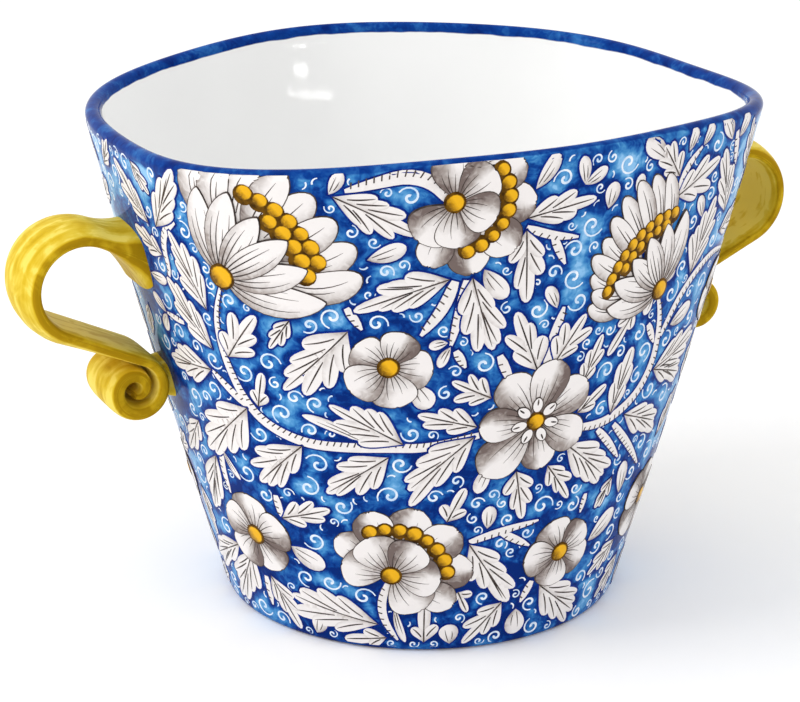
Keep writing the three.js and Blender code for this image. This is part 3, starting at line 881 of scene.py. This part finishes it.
# %% [markdown]
# ### Three kinds of flower
# Each kind is a short recipe of petals and beads, laid from the back layer to the front one. Reaches and
# radii are shares of the flower's size, so one recipe serves large and small flowers.

# %% Open flowers
PETALS_COVER = 372  # degrees that the petals take together, so that each overlaps the next
CROWN_OVALS = 7
CROWN_EDGE = ("brown", 0.5)
PETAL_TURN, PETAL_REACH = 3, 0.07  # jitters of a round petal, in degrees and as a share


def white_crown(place, reach):
    """Small white ovals that point outward in a ring about the middle."""
    ring = np.arange(CROWN_OVALS) * 360 / CROWN_OVALS
    share = rows(9)
    base, middle, tip = (polar(np.full(CROWN_OVALS, at * reach), ring) for at in (0.15, 0.27, 0.39))
    half = np.outer(np.full(CROWN_OVALS, 0.085 * reach), swell(share, base=0.5, tip=0.5))
    places = np.repeat(place[None], CROWN_OVALS, 0)
    lift = FLOWER_LIFT + LAYER * 3
    ribs = ((0.0, 4, 8),)
    shape("petals", CROWN_EDGE, places, bend(base, middle, tip, share), half, lift, ribs, rib_half=0.5)


def open_flower(place, petals, reach, start, crowned):
    """Round petals evenly turned about one bead, or about a bead with a ring of small white ovals."""
    place = np.array(place, float)
    heading = start + np.arange(petals) * 360 / petals + chance.normal(0, PETAL_TURN, petals)
    layer = np.arange(petals) % 2
    layer[-1] = 2
    size = reach * (1 + chance.normal(0, PETAL_REACH, petals))
    round_petals(place, heading, size, np.full(petals, PETALS_COVER / petals), layer)
    if crowned:
        white_crown(place, reach)
        middle_bead(place, 0.13 * reach, 4)
    else:
        middle_bead(place, 0.22 * reach, 3)


print("a crown has", CROWN_OVALS, "ovals")


# %% Cups and half-open flowers
def cup_flower(place, heading, size):
    """A cup from the side: wide petals behind, an arc of beads, and round petals in front of them."""
    place = np.array(place, float)
    behind = heading + np.linspace(-84, 88, 6)
    reach = size * np.array([0.84, 0.96, 1.02, 1.04, 1.0, 0.88])
    round_petals(place, behind, reach, np.full(6, 44.0), (0, 1, 0, 1, 0, 1), inner=0.3, lobes=3, grey=1.6)
    bead_row(place, 0.69 * size, heading - 54, heading + 52, 0.088 * size, 2)
    before = heading + np.array([-112, 112, -60, 62, 2])
    reach = size * np.array([0.62, 0.64, 0.61, 0.6, 0.57])
    round_petals(place, before, reach, np.full(5, 72.0), (4, 4, 5, 5, 6))
    middle_bead(place, 0.115 * size, 7)


def half_open_flower(place, heading, size, petals, fan, tips, outer, inner):
    """Long petals behind, two rows of beads, and pointed petals that close over them from below.

    The tips are the lengths of the first, the longest and the last petal behind.
    """
    place = np.array(place, float)
    behind = heading + np.linspace(*fan, petals)
    length = np.interp(np.linspace(-1, 1, petals), (-1, 0.4, 1), tips)
    reach = length * (1 + chance.normal(0, 0.03, petals))
    thin = size / reach / petals
    lines = ((-0.05, 3, 11), (0.3, 4, 9))
    long_petals(place, behind, heading, reach, thin, np.arange(petals) % 2, lines, 0.42, 0.5, grey=0.8)
    radius = 0.055 * size
    bead_row(place, 0.73 * size, heading + outer[0], heading + outer[1], radius, 2)
    bead_row(place, 0.63 * size, heading + inner[0], heading + inner[1], radius, 2.3)
    before = heading + np.array([-54, 55, -33, 34, -11, 12])
    reach = size * np.array([0.68, 0.74, 0.68, 0.64, 0.6, 0.62])
    lines = ((-0.6, 1, 9), (-0.22, 1, 10), (0.2, 1, 8), (0.58, 1, 10))
    long_petals(place, before, heading, reach, np.full(6, 0.18), (5, 5, 6, 6, 7, 8), lines)
    middle_bead(place, 0.09 * size, 9)


OPEN_FLOWERS = (  # angle and height, petals, reach, turn of the first petal, and whether it has a crown
    (-122, 142.5, 5, 18.5, -50, False),
    (-92, 111.5, 7, 28, -37, True),
    (-159, 51, 5, 20, 0, False),
    (-79.5, 43, 5, 18, -25, False),
    (-45, 51, 5, 19, 10, False),
    (-36, 146, 5, 17, 30, False),
    (-196, 60, 5, 15, 0, False),
)
half_open_flower((-151, 182.5), 48, 60, 8, (-50, 40), (60, 60, 57), outer=(-24, 34), inner=(-4, 38))
half_open_flower((-65, 160), -41, 47, 10, (-49, 31), (41, 58, 52), outer=(-40, 38), inner=(-20, 30))
cup_flower((-110.5, 213), 112, 33)
cup_flower((-123, 41), 34, 35)
for angle, z, *look in OPEN_FLOWERS:
    open_flower((angle, z), *look)
print(len(beads), "sets of beads on", len(OPEN_FLOWERS) + 4, "flowers of each half")

# %% [markdown]
# ## Curls
# Every gap of the ground is filled with white curls and commas, none touching another. Placing nearly four
# hundred by hand would be slow, so the script looks for the largest empty circle again and again, as a
# painter's eye does, and puts there a small leaf, a curl or a comma, whichever fits.

# %% Fill the gaps
ANGLE_STEP, HEIGHT_STEP = 0.6, 1.2  # degrees and millimetres between the cells where room is measured
FIRST_ANGLE, FIRST_HEIGHT = -206.0, 4.0
HANDLE_PLACES = ((-183, 180, 21), (-182, 168, 18), (-182, 116, 17))  # discs where handles meet the wall
EDGE_ROOM = 1.0  # kept clear above the foot, and lent above the lip's centre
GAP, LEAST_ROOM = 0.4, 2.1  # kept clear round each filling, and the least circle that gets one
LEAF_ROOM, LEAF_MOST, LEAF_WIDTH = 8.5, 12.0, 1.1  # room a leaf needs, the most it takes, and its share
CURL_ROOM, CURL_MOST = 2.4, 5.8
angles = np.arange(FIRST_ANGLE, FIRST_ANGLE + 180, ANGLE_STEP)
heights = np.arange(FIRST_HEIGHT, LIP_Z, HEIGHT_STEP)
cell_angle, cell_z = np.meshgrid(angles, heights)
discs = np.concatenate([*covered, np.array(HANDLE_PLACES, float)])


def distance(angle, z):
    """Flat distance from every cell to a place, with angles taken round the half turn of the layout."""
    apart = (cell_angle - angle + 90) % 180 - 90
    return np.hypot(np.radians(apart) * thrown_radius(cell_z), (cell_z - z) / SLANT)


clear = np.minimum(LIP_Z + EDGE_ROOM - cell_z, cell_z - EDGE_ROOM)
for angle, z, radius in discs:
    clear = np.minimum(clear, distance(angle, z) - radius)
open_ground = clear.copy()
curls, commas = [], []
while clear.max() > LEAST_ROOM:
    spot = np.unravel_index(np.argmax(clear), clear.shape)
    angle, z, room = cell_angle[spot], cell_z[spot], clear[spot] - GAP
    start, flip = chance.uniform(0, 360), chance.choice((-1.0, 1.0))
    if room > LEAF_ROOM:
        taken = min(room, LEAF_MOST)
        ends = [wrap(polar(np.array([far]), start), np.array([[angle, z]])) for far in (-taken, taken)]
        (base_angle, base_z), (tip_angle, tip_z) = ends
        leaf = [np.degrees(base_angle[0]), base_z[0], np.degrees(tip_angle[0]), tip_z[0], LEAF_WIDTH * taken]
        fan_leaves(np.array([leaf]), 5)
    elif room > CURL_ROOM:
        taken = min(room, CURL_MOST)
        curls.append((angle, z, taken, start, flip))
    else:
        taken = room
        commas.append((angle, z, taken, start, flip))
    clear = np.minimum(clear, distance(angle, z) - taken - GAP)
print(len(curls), "curls and", len(commas), "commas on each half")

# %% Curls and commas
CURL_HALF, CURL_USUAL = 0.55, 3.5  # half width of the line, on a curl of this usual size
CURL_LIFT = 0.08


def curl_strokes(spots, turns, count, inner):
    """Spirals: the radius grows with the turn from an inner share to the full size, and the line thins."""
    spots = np.array(spots)
    share = np.linspace(0, 1, count)
    angle = np.radians(spots[:, 3:4]) + spots[:, 4:5] * 2 * math.pi * turns * share
    radius = spots[:, 2:3] * (inner + (1 - inner) * share**1.4)
    spine = np.stack([radius * np.cos(angle), radius * np.sin(angle)], axis=-1)
    half = CURL_HALF * (1.15 - 0.55 * share**2) * np.clip(spots[:, 2:3] / CURL_USUAL, 0.7, 1.1)
    brush("curls", spots[:, :2], spine, half, CURL_LIFT, across=FINE)


curl_strokes(curls, turns=1.25, count=22, inner=0.14)
curl_strokes(commas, turns=0.3, count=6, inner=0.8)
print(sum(len(rings) for rings, _ in painted["curls"]), "curls and commas on the whole pot")

# %% [markdown]
# ## The glazes of the body
# Cobalt is brushed on in thin washes, so the blue runs from pale to nearly black-blue in patches about
# 17 mm across, with finer streaks from the brush. The painter draws round each leaf with a full brush and
# fills the gaps with a drier one, so the blue is darkest beside the motifs. A dark stroke goes over the lip
# and its edges wander. Inside, the glaze is plain white. Each point of the wall keeps its distance from the
# top of the lip and from the nearest motif, and the shader does the rest.

# %% Body glaze
WASH, STREAK = 17.0, 3.5  # widths of a patch of wash and of a brush streak
STREAK_WEIGHT = 0.45  # what streaks count beside patches
CLOUD, CLAY_GRAIN = 60.0, 2.0  # widths of faint clouds in the white and of grains in the bare clay
LIP_STROKE_OUT, LIP_STROKE_IN = 9.0, 6.5  # how far the dark stroke comes down outside and inside
LIP_FADE_OUT, LIP_FADE_IN = 1.5, 0.5  # widths over which its edges fade
LIP_WANDER, INNER_SHARE = 2.5, 0.4  # how far its edge outside wanders, and the share of that inside
PALER_TOWARD_LIP = 0.06  # the ground is this much paler near the lip, and darker near the foot
FULL_BRUSH, DRY_BRUSH = 0.8, 5.0  # distances from a motif at which the blue is darkest and palest
DARKER, PALER = -0.16, 0.12  # what the tone gains at those two distances
GROUND_BLUES = (
    (0.46, "052973"), (1.0, "8cc0ea"), (0.58, "0e4292"), (0.70, "286ab2"), (0.82, "488ec8"), (0.92, "68a6d8"),
)
LIP_BLUES = ((0.50, "04246e"), (1.0, "2c6ab0"), (0.75, "0a3c8c"))


def brushed_ground(tree, washes):
    """Blues of the ground: the washes, darker beside a motif and toward the foot, through a ramp."""
    gap = add(tree, "Attribute", output="Fac", attribute_name="gap")
    dry = add(tree, "MapRange", {
        "Value": gap, "From Min": FULL_BRUSH, "From Max": DRY_BRUSH, "To Min": DARKER, "To Max": PALER,
    })
    tone = add(tree, "Math", {0: washes, 1: dry}, operation="ADD")
    places = add(tree, "TexCoord", output="Object")
    height = add(tree, "SeparateXYZ", {0: places}, output="Z")
    paler_toward_lip = add(tree, "MapRange", {
        "Value": height, "From Max": HEIGHT * MM, "To Min": -PALER_TOWARD_LIP, "To Max": PALER_TOWARD_LIP,
    })
    tone = add(tree, "Math", {0: tone, 1: paler_toward_lip}, operation="ADD")
    return add(tree, "ValToRGB", {"Fac": tone}, stops=GROUND_BLUES)


def cobalt_and_white(tree):
    """Ground and lip stroke outside, white inside, and bare clay under the foot.

    Two edges that wander with a noise part the lip's stroke from the ground and from the white.
    """
    places = add(tree, "TexCoord", output="Object")
    streaks = add(tree, "TexNoise", {
        "Vector": places, "Scale": per_metre(STREAK), "Detail": 2.0, "Distortion": 1.0,
    })
    patches = add(tree, "TexNoise", {
        "Vector": places, "Scale": per_metre(WASH), "Detail": 3.0, "Distortion": 1.2,
    })
    washes = add(tree, "Math", {0: streaks, 1: STREAK_WEIGHT, 2: patches}, operation="MULTIPLY_ADD")
    from_lip = add(tree, "Attribute", output="Fac", attribute_name="from_lip")
    slow = add(tree, "TexNoise", {"Vector": places, "Scale": per_metre(WASH), "Detail": 2.0})
    wander = add(tree, "MapRange", {"Value": slow, "To Min": -LIP_WANDER, "To Max": LIP_WANDER})
    lower = add(tree, "Math", {0: from_lip, 1: wander}, operation="ADD")
    below = add(tree, "MapRange", {
        "Value": lower, "From Min": LIP_STROKE_OUT - LIP_FADE_OUT, "From Max": LIP_STROKE_OUT,
    })
    stroke = add(tree, "ValToRGB", {"Fac": washes}, stops=LIP_BLUES)
    ground = brushed_ground(tree, washes)
    outer = add(tree, "MixRGB", {"Fac": below, "Color1": stroke, "Color2": ground})
    clouds = add(tree, "TexNoise", {"Vector": places, "Scale": per_metre(CLOUD), "Detail": 1.0})
    white = add(tree, "ValToRGB", {"Fac": clouds}, stops=((0.3, "f4f4f3"), (0.7, "f8f8f7")))
    upper = add(tree, "Math", {0: wander, 1: INNER_SHARE, 2: from_lip}, operation="MULTIPLY_ADD")
    within = add(tree, "MapRange", {
        "Value": upper, "From Min": -LIP_STROKE_IN, "From Max": LIP_FADE_IN - LIP_STROKE_IN,
    })
    coats = add(tree, "MixRGB", {"Fac": within, "Color1": white, "Color2": outer})
    grains = add(tree, "TexNoise", {"Vector": places, "Scale": per_metre(CLAY_GRAIN), "Detail": 4.0})
    clay = add(tree, "ValToRGB", {"Fac": grains}, stops=((0.3, "c99f7c"), (0.7, "dcb894")))
    bare = add(tree, "Attribute", output="Fac", attribute_name="bare")
    return add(tree, "MixRGB", {"Fac": bare, "Color1": coats, "Color2": clay}), ripple(tree)


# A hard clear gloss over soft-edged blue, so edges of paint look sunk in glass.
TIN_GLAZE = glazed("tin_glaze_cobalt_ground", cobalt_and_white, roughness=0.03, shine=0.03)
print("made", TIN_GLAZE.name)

# %% [markdown]
# ## The body
# A lathe profile is carried round the axis and squeezed. It starts under the foot, goes up the wall, over
# the lip, down the inside and over the floor, so wall and floor are one closed skin of even thickness.

# %% Body
FLOOR_Z = 11.5
FLOOR_FILLET = 14.0
FOOT_EDGE, FOOT_RING, FOOT_HOLLOW, HOLLOW_SLOPE = 3.0, 14.0, 2.5, 3.0
ROUND_STEPS = 432
AXIS_HOLE = 0.4  # the first and last rings are this small and a cap closes them
LIP_STROKE_THINS = 1.9  # the stroke is broad at the handles and thinner by this between them
LIP_STEPS = 20


def line(start, end, steps):
    """Evenly spaced points from one radius and height to another, without the last."""
    share = np.linspace(0, 1, steps, endpoint=False)[:, None]
    return np.array(start) * (1 - share) + np.array(end) * share


def rounding(start, corner, end, steps):
    """A quadratic curve between two points that leans toward a corner, without the last point."""
    share = np.linspace(0, 1, steps, endpoint=False)[:, None]
    return line(start, corner, steps) * (1 - share) + line(corner, end, steps) * share


def wall_line(low, high, steps, inward):
    """Points of the thrown wall from one height to another, moved inward."""
    z = np.linspace(low, high, steps, endpoint=False)
    return np.stack([thrown_radius(z) - inward, z], axis=-1)


def gap_at(angle, z):
    """Distance to the nearest motif, mixed from the four cells round a place."""
    column = (np.degrees(angle) - FIRST_ANGLE) % 180 / ANGLE_STEP
    row = np.clip((z - FIRST_HEIGHT) / HEIGHT_STEP, 0, len(heights) - 1.001)
    left, low = np.floor(column).astype(int), np.floor(row).astype(int)
    right, x, y = (left + 1) % len(angles), column - left, row - low
    left = left % len(angles)
    lower = open_ground[low, left] * (1 - x) + open_ground[low, right] * x
    upper = open_ground[low + 1, left] * (1 - x) + open_ground[low + 1, right] * x
    return lower * (1 - y) + upper * y


ring_out = BASE_RADIUS - FOOT_EDGE
ring_in = ring_out - FOOT_RING
fillet_top = FLOOR_Z + FLOOR_FILLET
floor_edge = thrown_radius(FLOOR_Z) - WALL
lip_turn = np.linspace(0, math.pi, LIP_STEPS, endpoint=False)
lip_centre = np.array([RIM_RADIUS - LIP_ROUND, LIP_Z])
profile = np.concatenate([
    line((AXIS_HOLE, FOOT_HOLLOW), (ring_in - HOLLOW_SLOPE, FOOT_HOLLOW), steps=8),
    line((ring_in - HOLLOW_SLOPE, FOOT_HOLLOW), (ring_in, 0), steps=3),
    line((ring_in, 0), (ring_out, 0), steps=4),
    rounding((ring_out, 0), (BASE_RADIUS, 0), (thrown_radius(FOOT_EDGE), FOOT_EDGE), steps=6),
    wall_line(FOOT_EDGE, LIP_Z, steps=116, inward=0),
    lip_centre + LIP_ROUND * np.stack([np.cos(lip_turn), np.sin(lip_turn)], axis=-1),
    wall_line(LIP_Z, fillet_top, steps=32, inward=WALL),
    rounding((thrown_radius(fillet_top) - WALL, fillet_top), (floor_edge, FLOOR_Z),
             (floor_edge - FLOOR_FILLET, FLOOR_Z), steps=10),
    line((floor_edge - FLOOR_FILLET, FLOOR_Z), (AXIS_HOLE, FLOOR_Z), steps=8),
    [(AXIS_HOLE, FLOOR_Z)],
])
along = np.concatenate([[0], np.cumsum(np.linalg.norm(np.diff(profile, axis=0), axis=1))])
from_lip = along[np.argmax(profile[:, 1])] - along
bare = (from_lip > 0) & (profile[:, 1] < FOOT_HOLLOW + 0.1) & (profile[:, 0] < ring_out + 1)
turns, levels = np.meshgrid(np.linspace(0, 2 * math.pi, ROUND_STEPS, endpoint=False), profile[:, 1])
rings = squeezed(profile[:, 0:1], turns, levels)[None]
thin_front = 1 + LIP_STROKE_THINS * np.sin(turns) ** 4
lip_place = from_lip[:, None] * np.where(from_lip[:, None] > 0, thin_front, 1)
body = loft("glazed_body", [(rings, {
    "from_lip": lip_place[None], "bare": bare[None, :, None].astype(float),
    "gap": gap_at(turns, levels)[None],
})], TIN_GLAZE)
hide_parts("pot_body")

# %% [markdown]
# ## The painted coats
# Petals and leaves are white glaze washed with warm grey where a petal folds or a leaf joins its stem. The
# outlines and veins are a brown-black line from a fine brush, denser in some places than in others, and the
# ground is drawn round leaves in dark blue. The beads are amber with a brown shadow to one side. Each stroke
# keeps a value for how dark its wash is, so the shader only turns that value into a colour.

# %% Paint materials
def washed(dark, mid, pale, size):
    """A painter for coats that go from pale to dark by the kept shade, broken up by a noise."""
    def paint(tree):
        shade = add(tree, "Attribute", output="Fac", attribute_name="shade")
        places = add(tree, "TexCoord", output="Object")
        cloudy = add(tree, "TexNoise", {
            "Vector": places, "Scale": per_metre(size), "Detail": 4.0, "Distortion": 1.0,
        })
        broken = add(tree, "MapRange", {"Value": cloudy, "To Min": 0.1, "To Max": 1.9})
        depth = add(tree, "Math", {0: shade, 1: broken}, operation="MULTIPLY")
        colour = add(tree, "ValToRGB", {"Fac": depth}, stops=((0.08, pale), (0.95, dark), (0.5, mid)))
        return colour, ripple(tree)
    return paint


def varied(dark, pale, size):
    """A painter for line work: dark and pale in patches, where the brush was full or nearly dry."""
    def paint(tree):
        places = add(tree, "TexCoord", output="Object")
        cloudy = add(tree, "TexNoise", {"Vector": places, "Scale": per_metre(size), "Detail": 2.0})
        colour = add(tree, "ValToRGB", {"Fac": cloudy}, stops=((0.35, dark), (0.65, pale)))
        return colour, ripple(tree)
    return paint


# Opaque white with grey washes under the clear gloss, as bright as the inside of the pot.
GREY_WASH = washed("746662", "aaa09b", "f0ebe9", size=4.0)
WHITE_WASHED = glazed("tin_white_grey_wash", GREY_WASH, roughness=0.2, shine=0.04)
# Manganese line, brown-black, that thins to grey-brown.
MANGANESE = glazed("manganese_line", varied("332b29", "5c514c", size=4.0), roughness=0.25, shine=0.05)
# Cobalt from a full brush, the darkest blue on the pot.
DARK_COBALT = glazed("cobalt_full_brush", varied("061d6c", "0a2f8a", size=6.0), roughness=0.15, shine=0.05)
# White slip line, a little blue where it is thin over the cobalt.
WHITE_LINE = glazed("white_slip_line", varied("c6dcf4", "f4f8fd", size=5.0), roughness=0.2, shine=0.08)
# Amber glaze drops, brown where the brush shaded them.
AMBER = glazed("amber_drop", washed("6b4a06", "b9860e", "edb31c", size=2.0), roughness=0.2, shine=0.1)
# Umber, the dark brown ground that the drops lie on.
UMBER = glazed("umber_ground", varied("3d2705", "6d4a0c", size=3.0), roughness=0.25, shine=0.05)
print("made", [glaze.name for glaze in (WHITE_WASHED, MANGANESE, DARK_COBALT, WHITE_LINE, AMBER, UMBER)])

# %% Painted coats
COATS = (
    ("painted_curls", painted["curls"], WHITE_LINE),
    ("painted_ground_edges", painted["navy"], DARK_COBALT),
    ("painted_outlines", painted["brown"], MANGANESE),
    ("painted_bead_ground", painted["umber"], UMBER),
    ("painted_leaves", painted["leaves"], WHITE_WASHED),
    ("painted_petals", painted["petals"], WHITE_WASHED),
    ("painted_lines", painted["lines"], MANGANESE),
    ("painted_beads", beads, AMBER),
)
for name, strokes, glaze in COATS:
    loft(name, strokes, glaze)

# %% [markdown]
# ## Floor, light and camera
# The pot stands on pale paper under soft light: an even white surrounding, a large lamp high on the left
# that turns the shadow to the right, and two small lamps in front that show as glints on the inside. The
# world looks plain white to the camera and in reflections.

# %% Floor
FLOOR_HALF = 3.0  # metres, as the places of lamps and camera below
PAPER_GLOW = 0.06
PAPER_GRAIN = 10.0  # millimetres, far coarser than real paper's, so that it isn't lost between pixels


def floor_paint(tree):
    """Matt white paper, very slightly uneven."""
    places = add(tree, "TexCoord", output="Object")
    grain = add(tree, "TexNoise", {"Vector": places, "Scale": per_metre(PAPER_GRAIN), "Detail": 2.0})
    white = add(tree, "ValToRGB", {"Fac": grain}, stops=((0.3, "fbfbfb"), (0.7, "fdfdfd")))
    return white, ripple(tree)


def whitened(tree):
    """A faint glow that only the camera sees, so open paper looks white and the shadow stays."""
    seen = add(tree, "LightPath", output="Is Camera Ray")
    glow = add(tree, "Math", {0: seen, 1: PAPER_GLOW}, operation="MULTIPLY")
    return {"Emission Color": linear("ffffff"), "Emission Strength": glow}


corners = [(x * FLOOR_HALF, y * FLOOR_HALF, 0) for x, y in ((-1, -1), (1, -1), (1, 1), (-1, 1))]
mesh = bpy.data.meshes.new("paper_floor")
mesh.from_pydata(corners, [], [(0, 1, 2, 3)])
# Uncoated white paper: dull, and lit evenly to the horizon.
mesh.materials.append(glazed("matt_paper", floor_paint, roughness=0.9, shine=0.0, extra=whitened))
floor = bpy.data.objects.new("paper_floor", mesh)
bpy.context.scene.collection.objects.link(floor)
print("floor:", 2 * FLOOR_HALF, "m across")

# %% World
AMBIENT = 0.97  # light on the pot, where 1 looks white to the camera
WHITE = (1.0, 1.0, 1.0, 1.0)
scene = bpy.context.scene
scene.view_settings.view_transform = "Standard"
world = bpy.data.worlds.new("white_studio")
scene.world = world
world.use_nodes = True
tree = world.node_tree
tree.nodes.clear()
seen = add(tree, "LightPath", output="Is Camera Ray")
for ray in ("Is Glossy Ray", "Is Transmission Ray"):
    seen = add(tree, "Math", {0: seen, 1: add(tree, "LightPath", output=ray)}, operation="MAXIMUM")
strength = add(tree, "MapRange", {"Value": seen, "To Min": AMBIENT, "To Max": 1.0})
light = add(tree, "Background", {"Color": WHITE, "Strength": strength})
add(tree, "OutputWorld", {"Surface": light})
print("world light:", AMBIENT)

# %% Lamps
KEY = "key_softbox"
LAMP_AIM = Vector((0, 0, 0.15))
LAMPS = (  # name, place in metres, width and height in metres, tilt in degrees and power in watts
    (KEY, (-1.6, 0.2, 1.5), 1.0, 1.0, 0.0, 15.0),
    ("glint_tall", (0.495, -0.942, 0.368), 0.14, 0.008, -4.0, 0.42),
    ("glint_flat", (0.420, -0.976, 0.355), 0.46, 0.010, -3.5, 1.25),
)
for name, place, width, height, tilt, power in LAMPS:
    lamp = bpy.data.lights.new(name, "AREA")
    lamp.shape = "RECTANGLE"
    lamp.size = width
    lamp.size_y = height
    lamp.energy = power
    holder = bpy.data.objects.new(name, lamp)
    holder.location = place
    holder.visible_diffuse = name == KEY  # the small ones show only as glints
    holder.rotation_euler = (LAMP_AIM - Vector(place)).to_track_quat("-Z", "Y").to_euler()
    holder.rotation_euler.rotate_axis("Z", math.radians(tilt))
    scene.collection.objects.link(holder)
print(len(LAMPS), "lamps")

# %% Camera
CAMERA_PLACE = Vector((-0.4480, -0.9185, 0.4518))
CAMERA_AIM = Vector((-0.0095, 0.0022, 0.1086))
SENSOR_WIDTH, FOCAL_LENGTH = 36.0, 105.84  # millimetres
camera_data = bpy.data.cameras.new("photo_camera")
camera_data.sensor_fit = "HORIZONTAL"
camera_data.sensor_width = SENSOR_WIDTH
camera_data.lens = FOCAL_LENGTH
camera = bpy.data.objects.new("photo_camera", camera_data)
camera.location = CAMERA_PLACE
camera.rotation_euler = (CAMERA_AIM - CAMERA_PLACE).to_track_quat("-Z", "Y").to_euler()
scene.collection.objects.link(camera)
scene.camera = camera
print("camera", [round(value, 3) for value in CAMERA_PLACE])
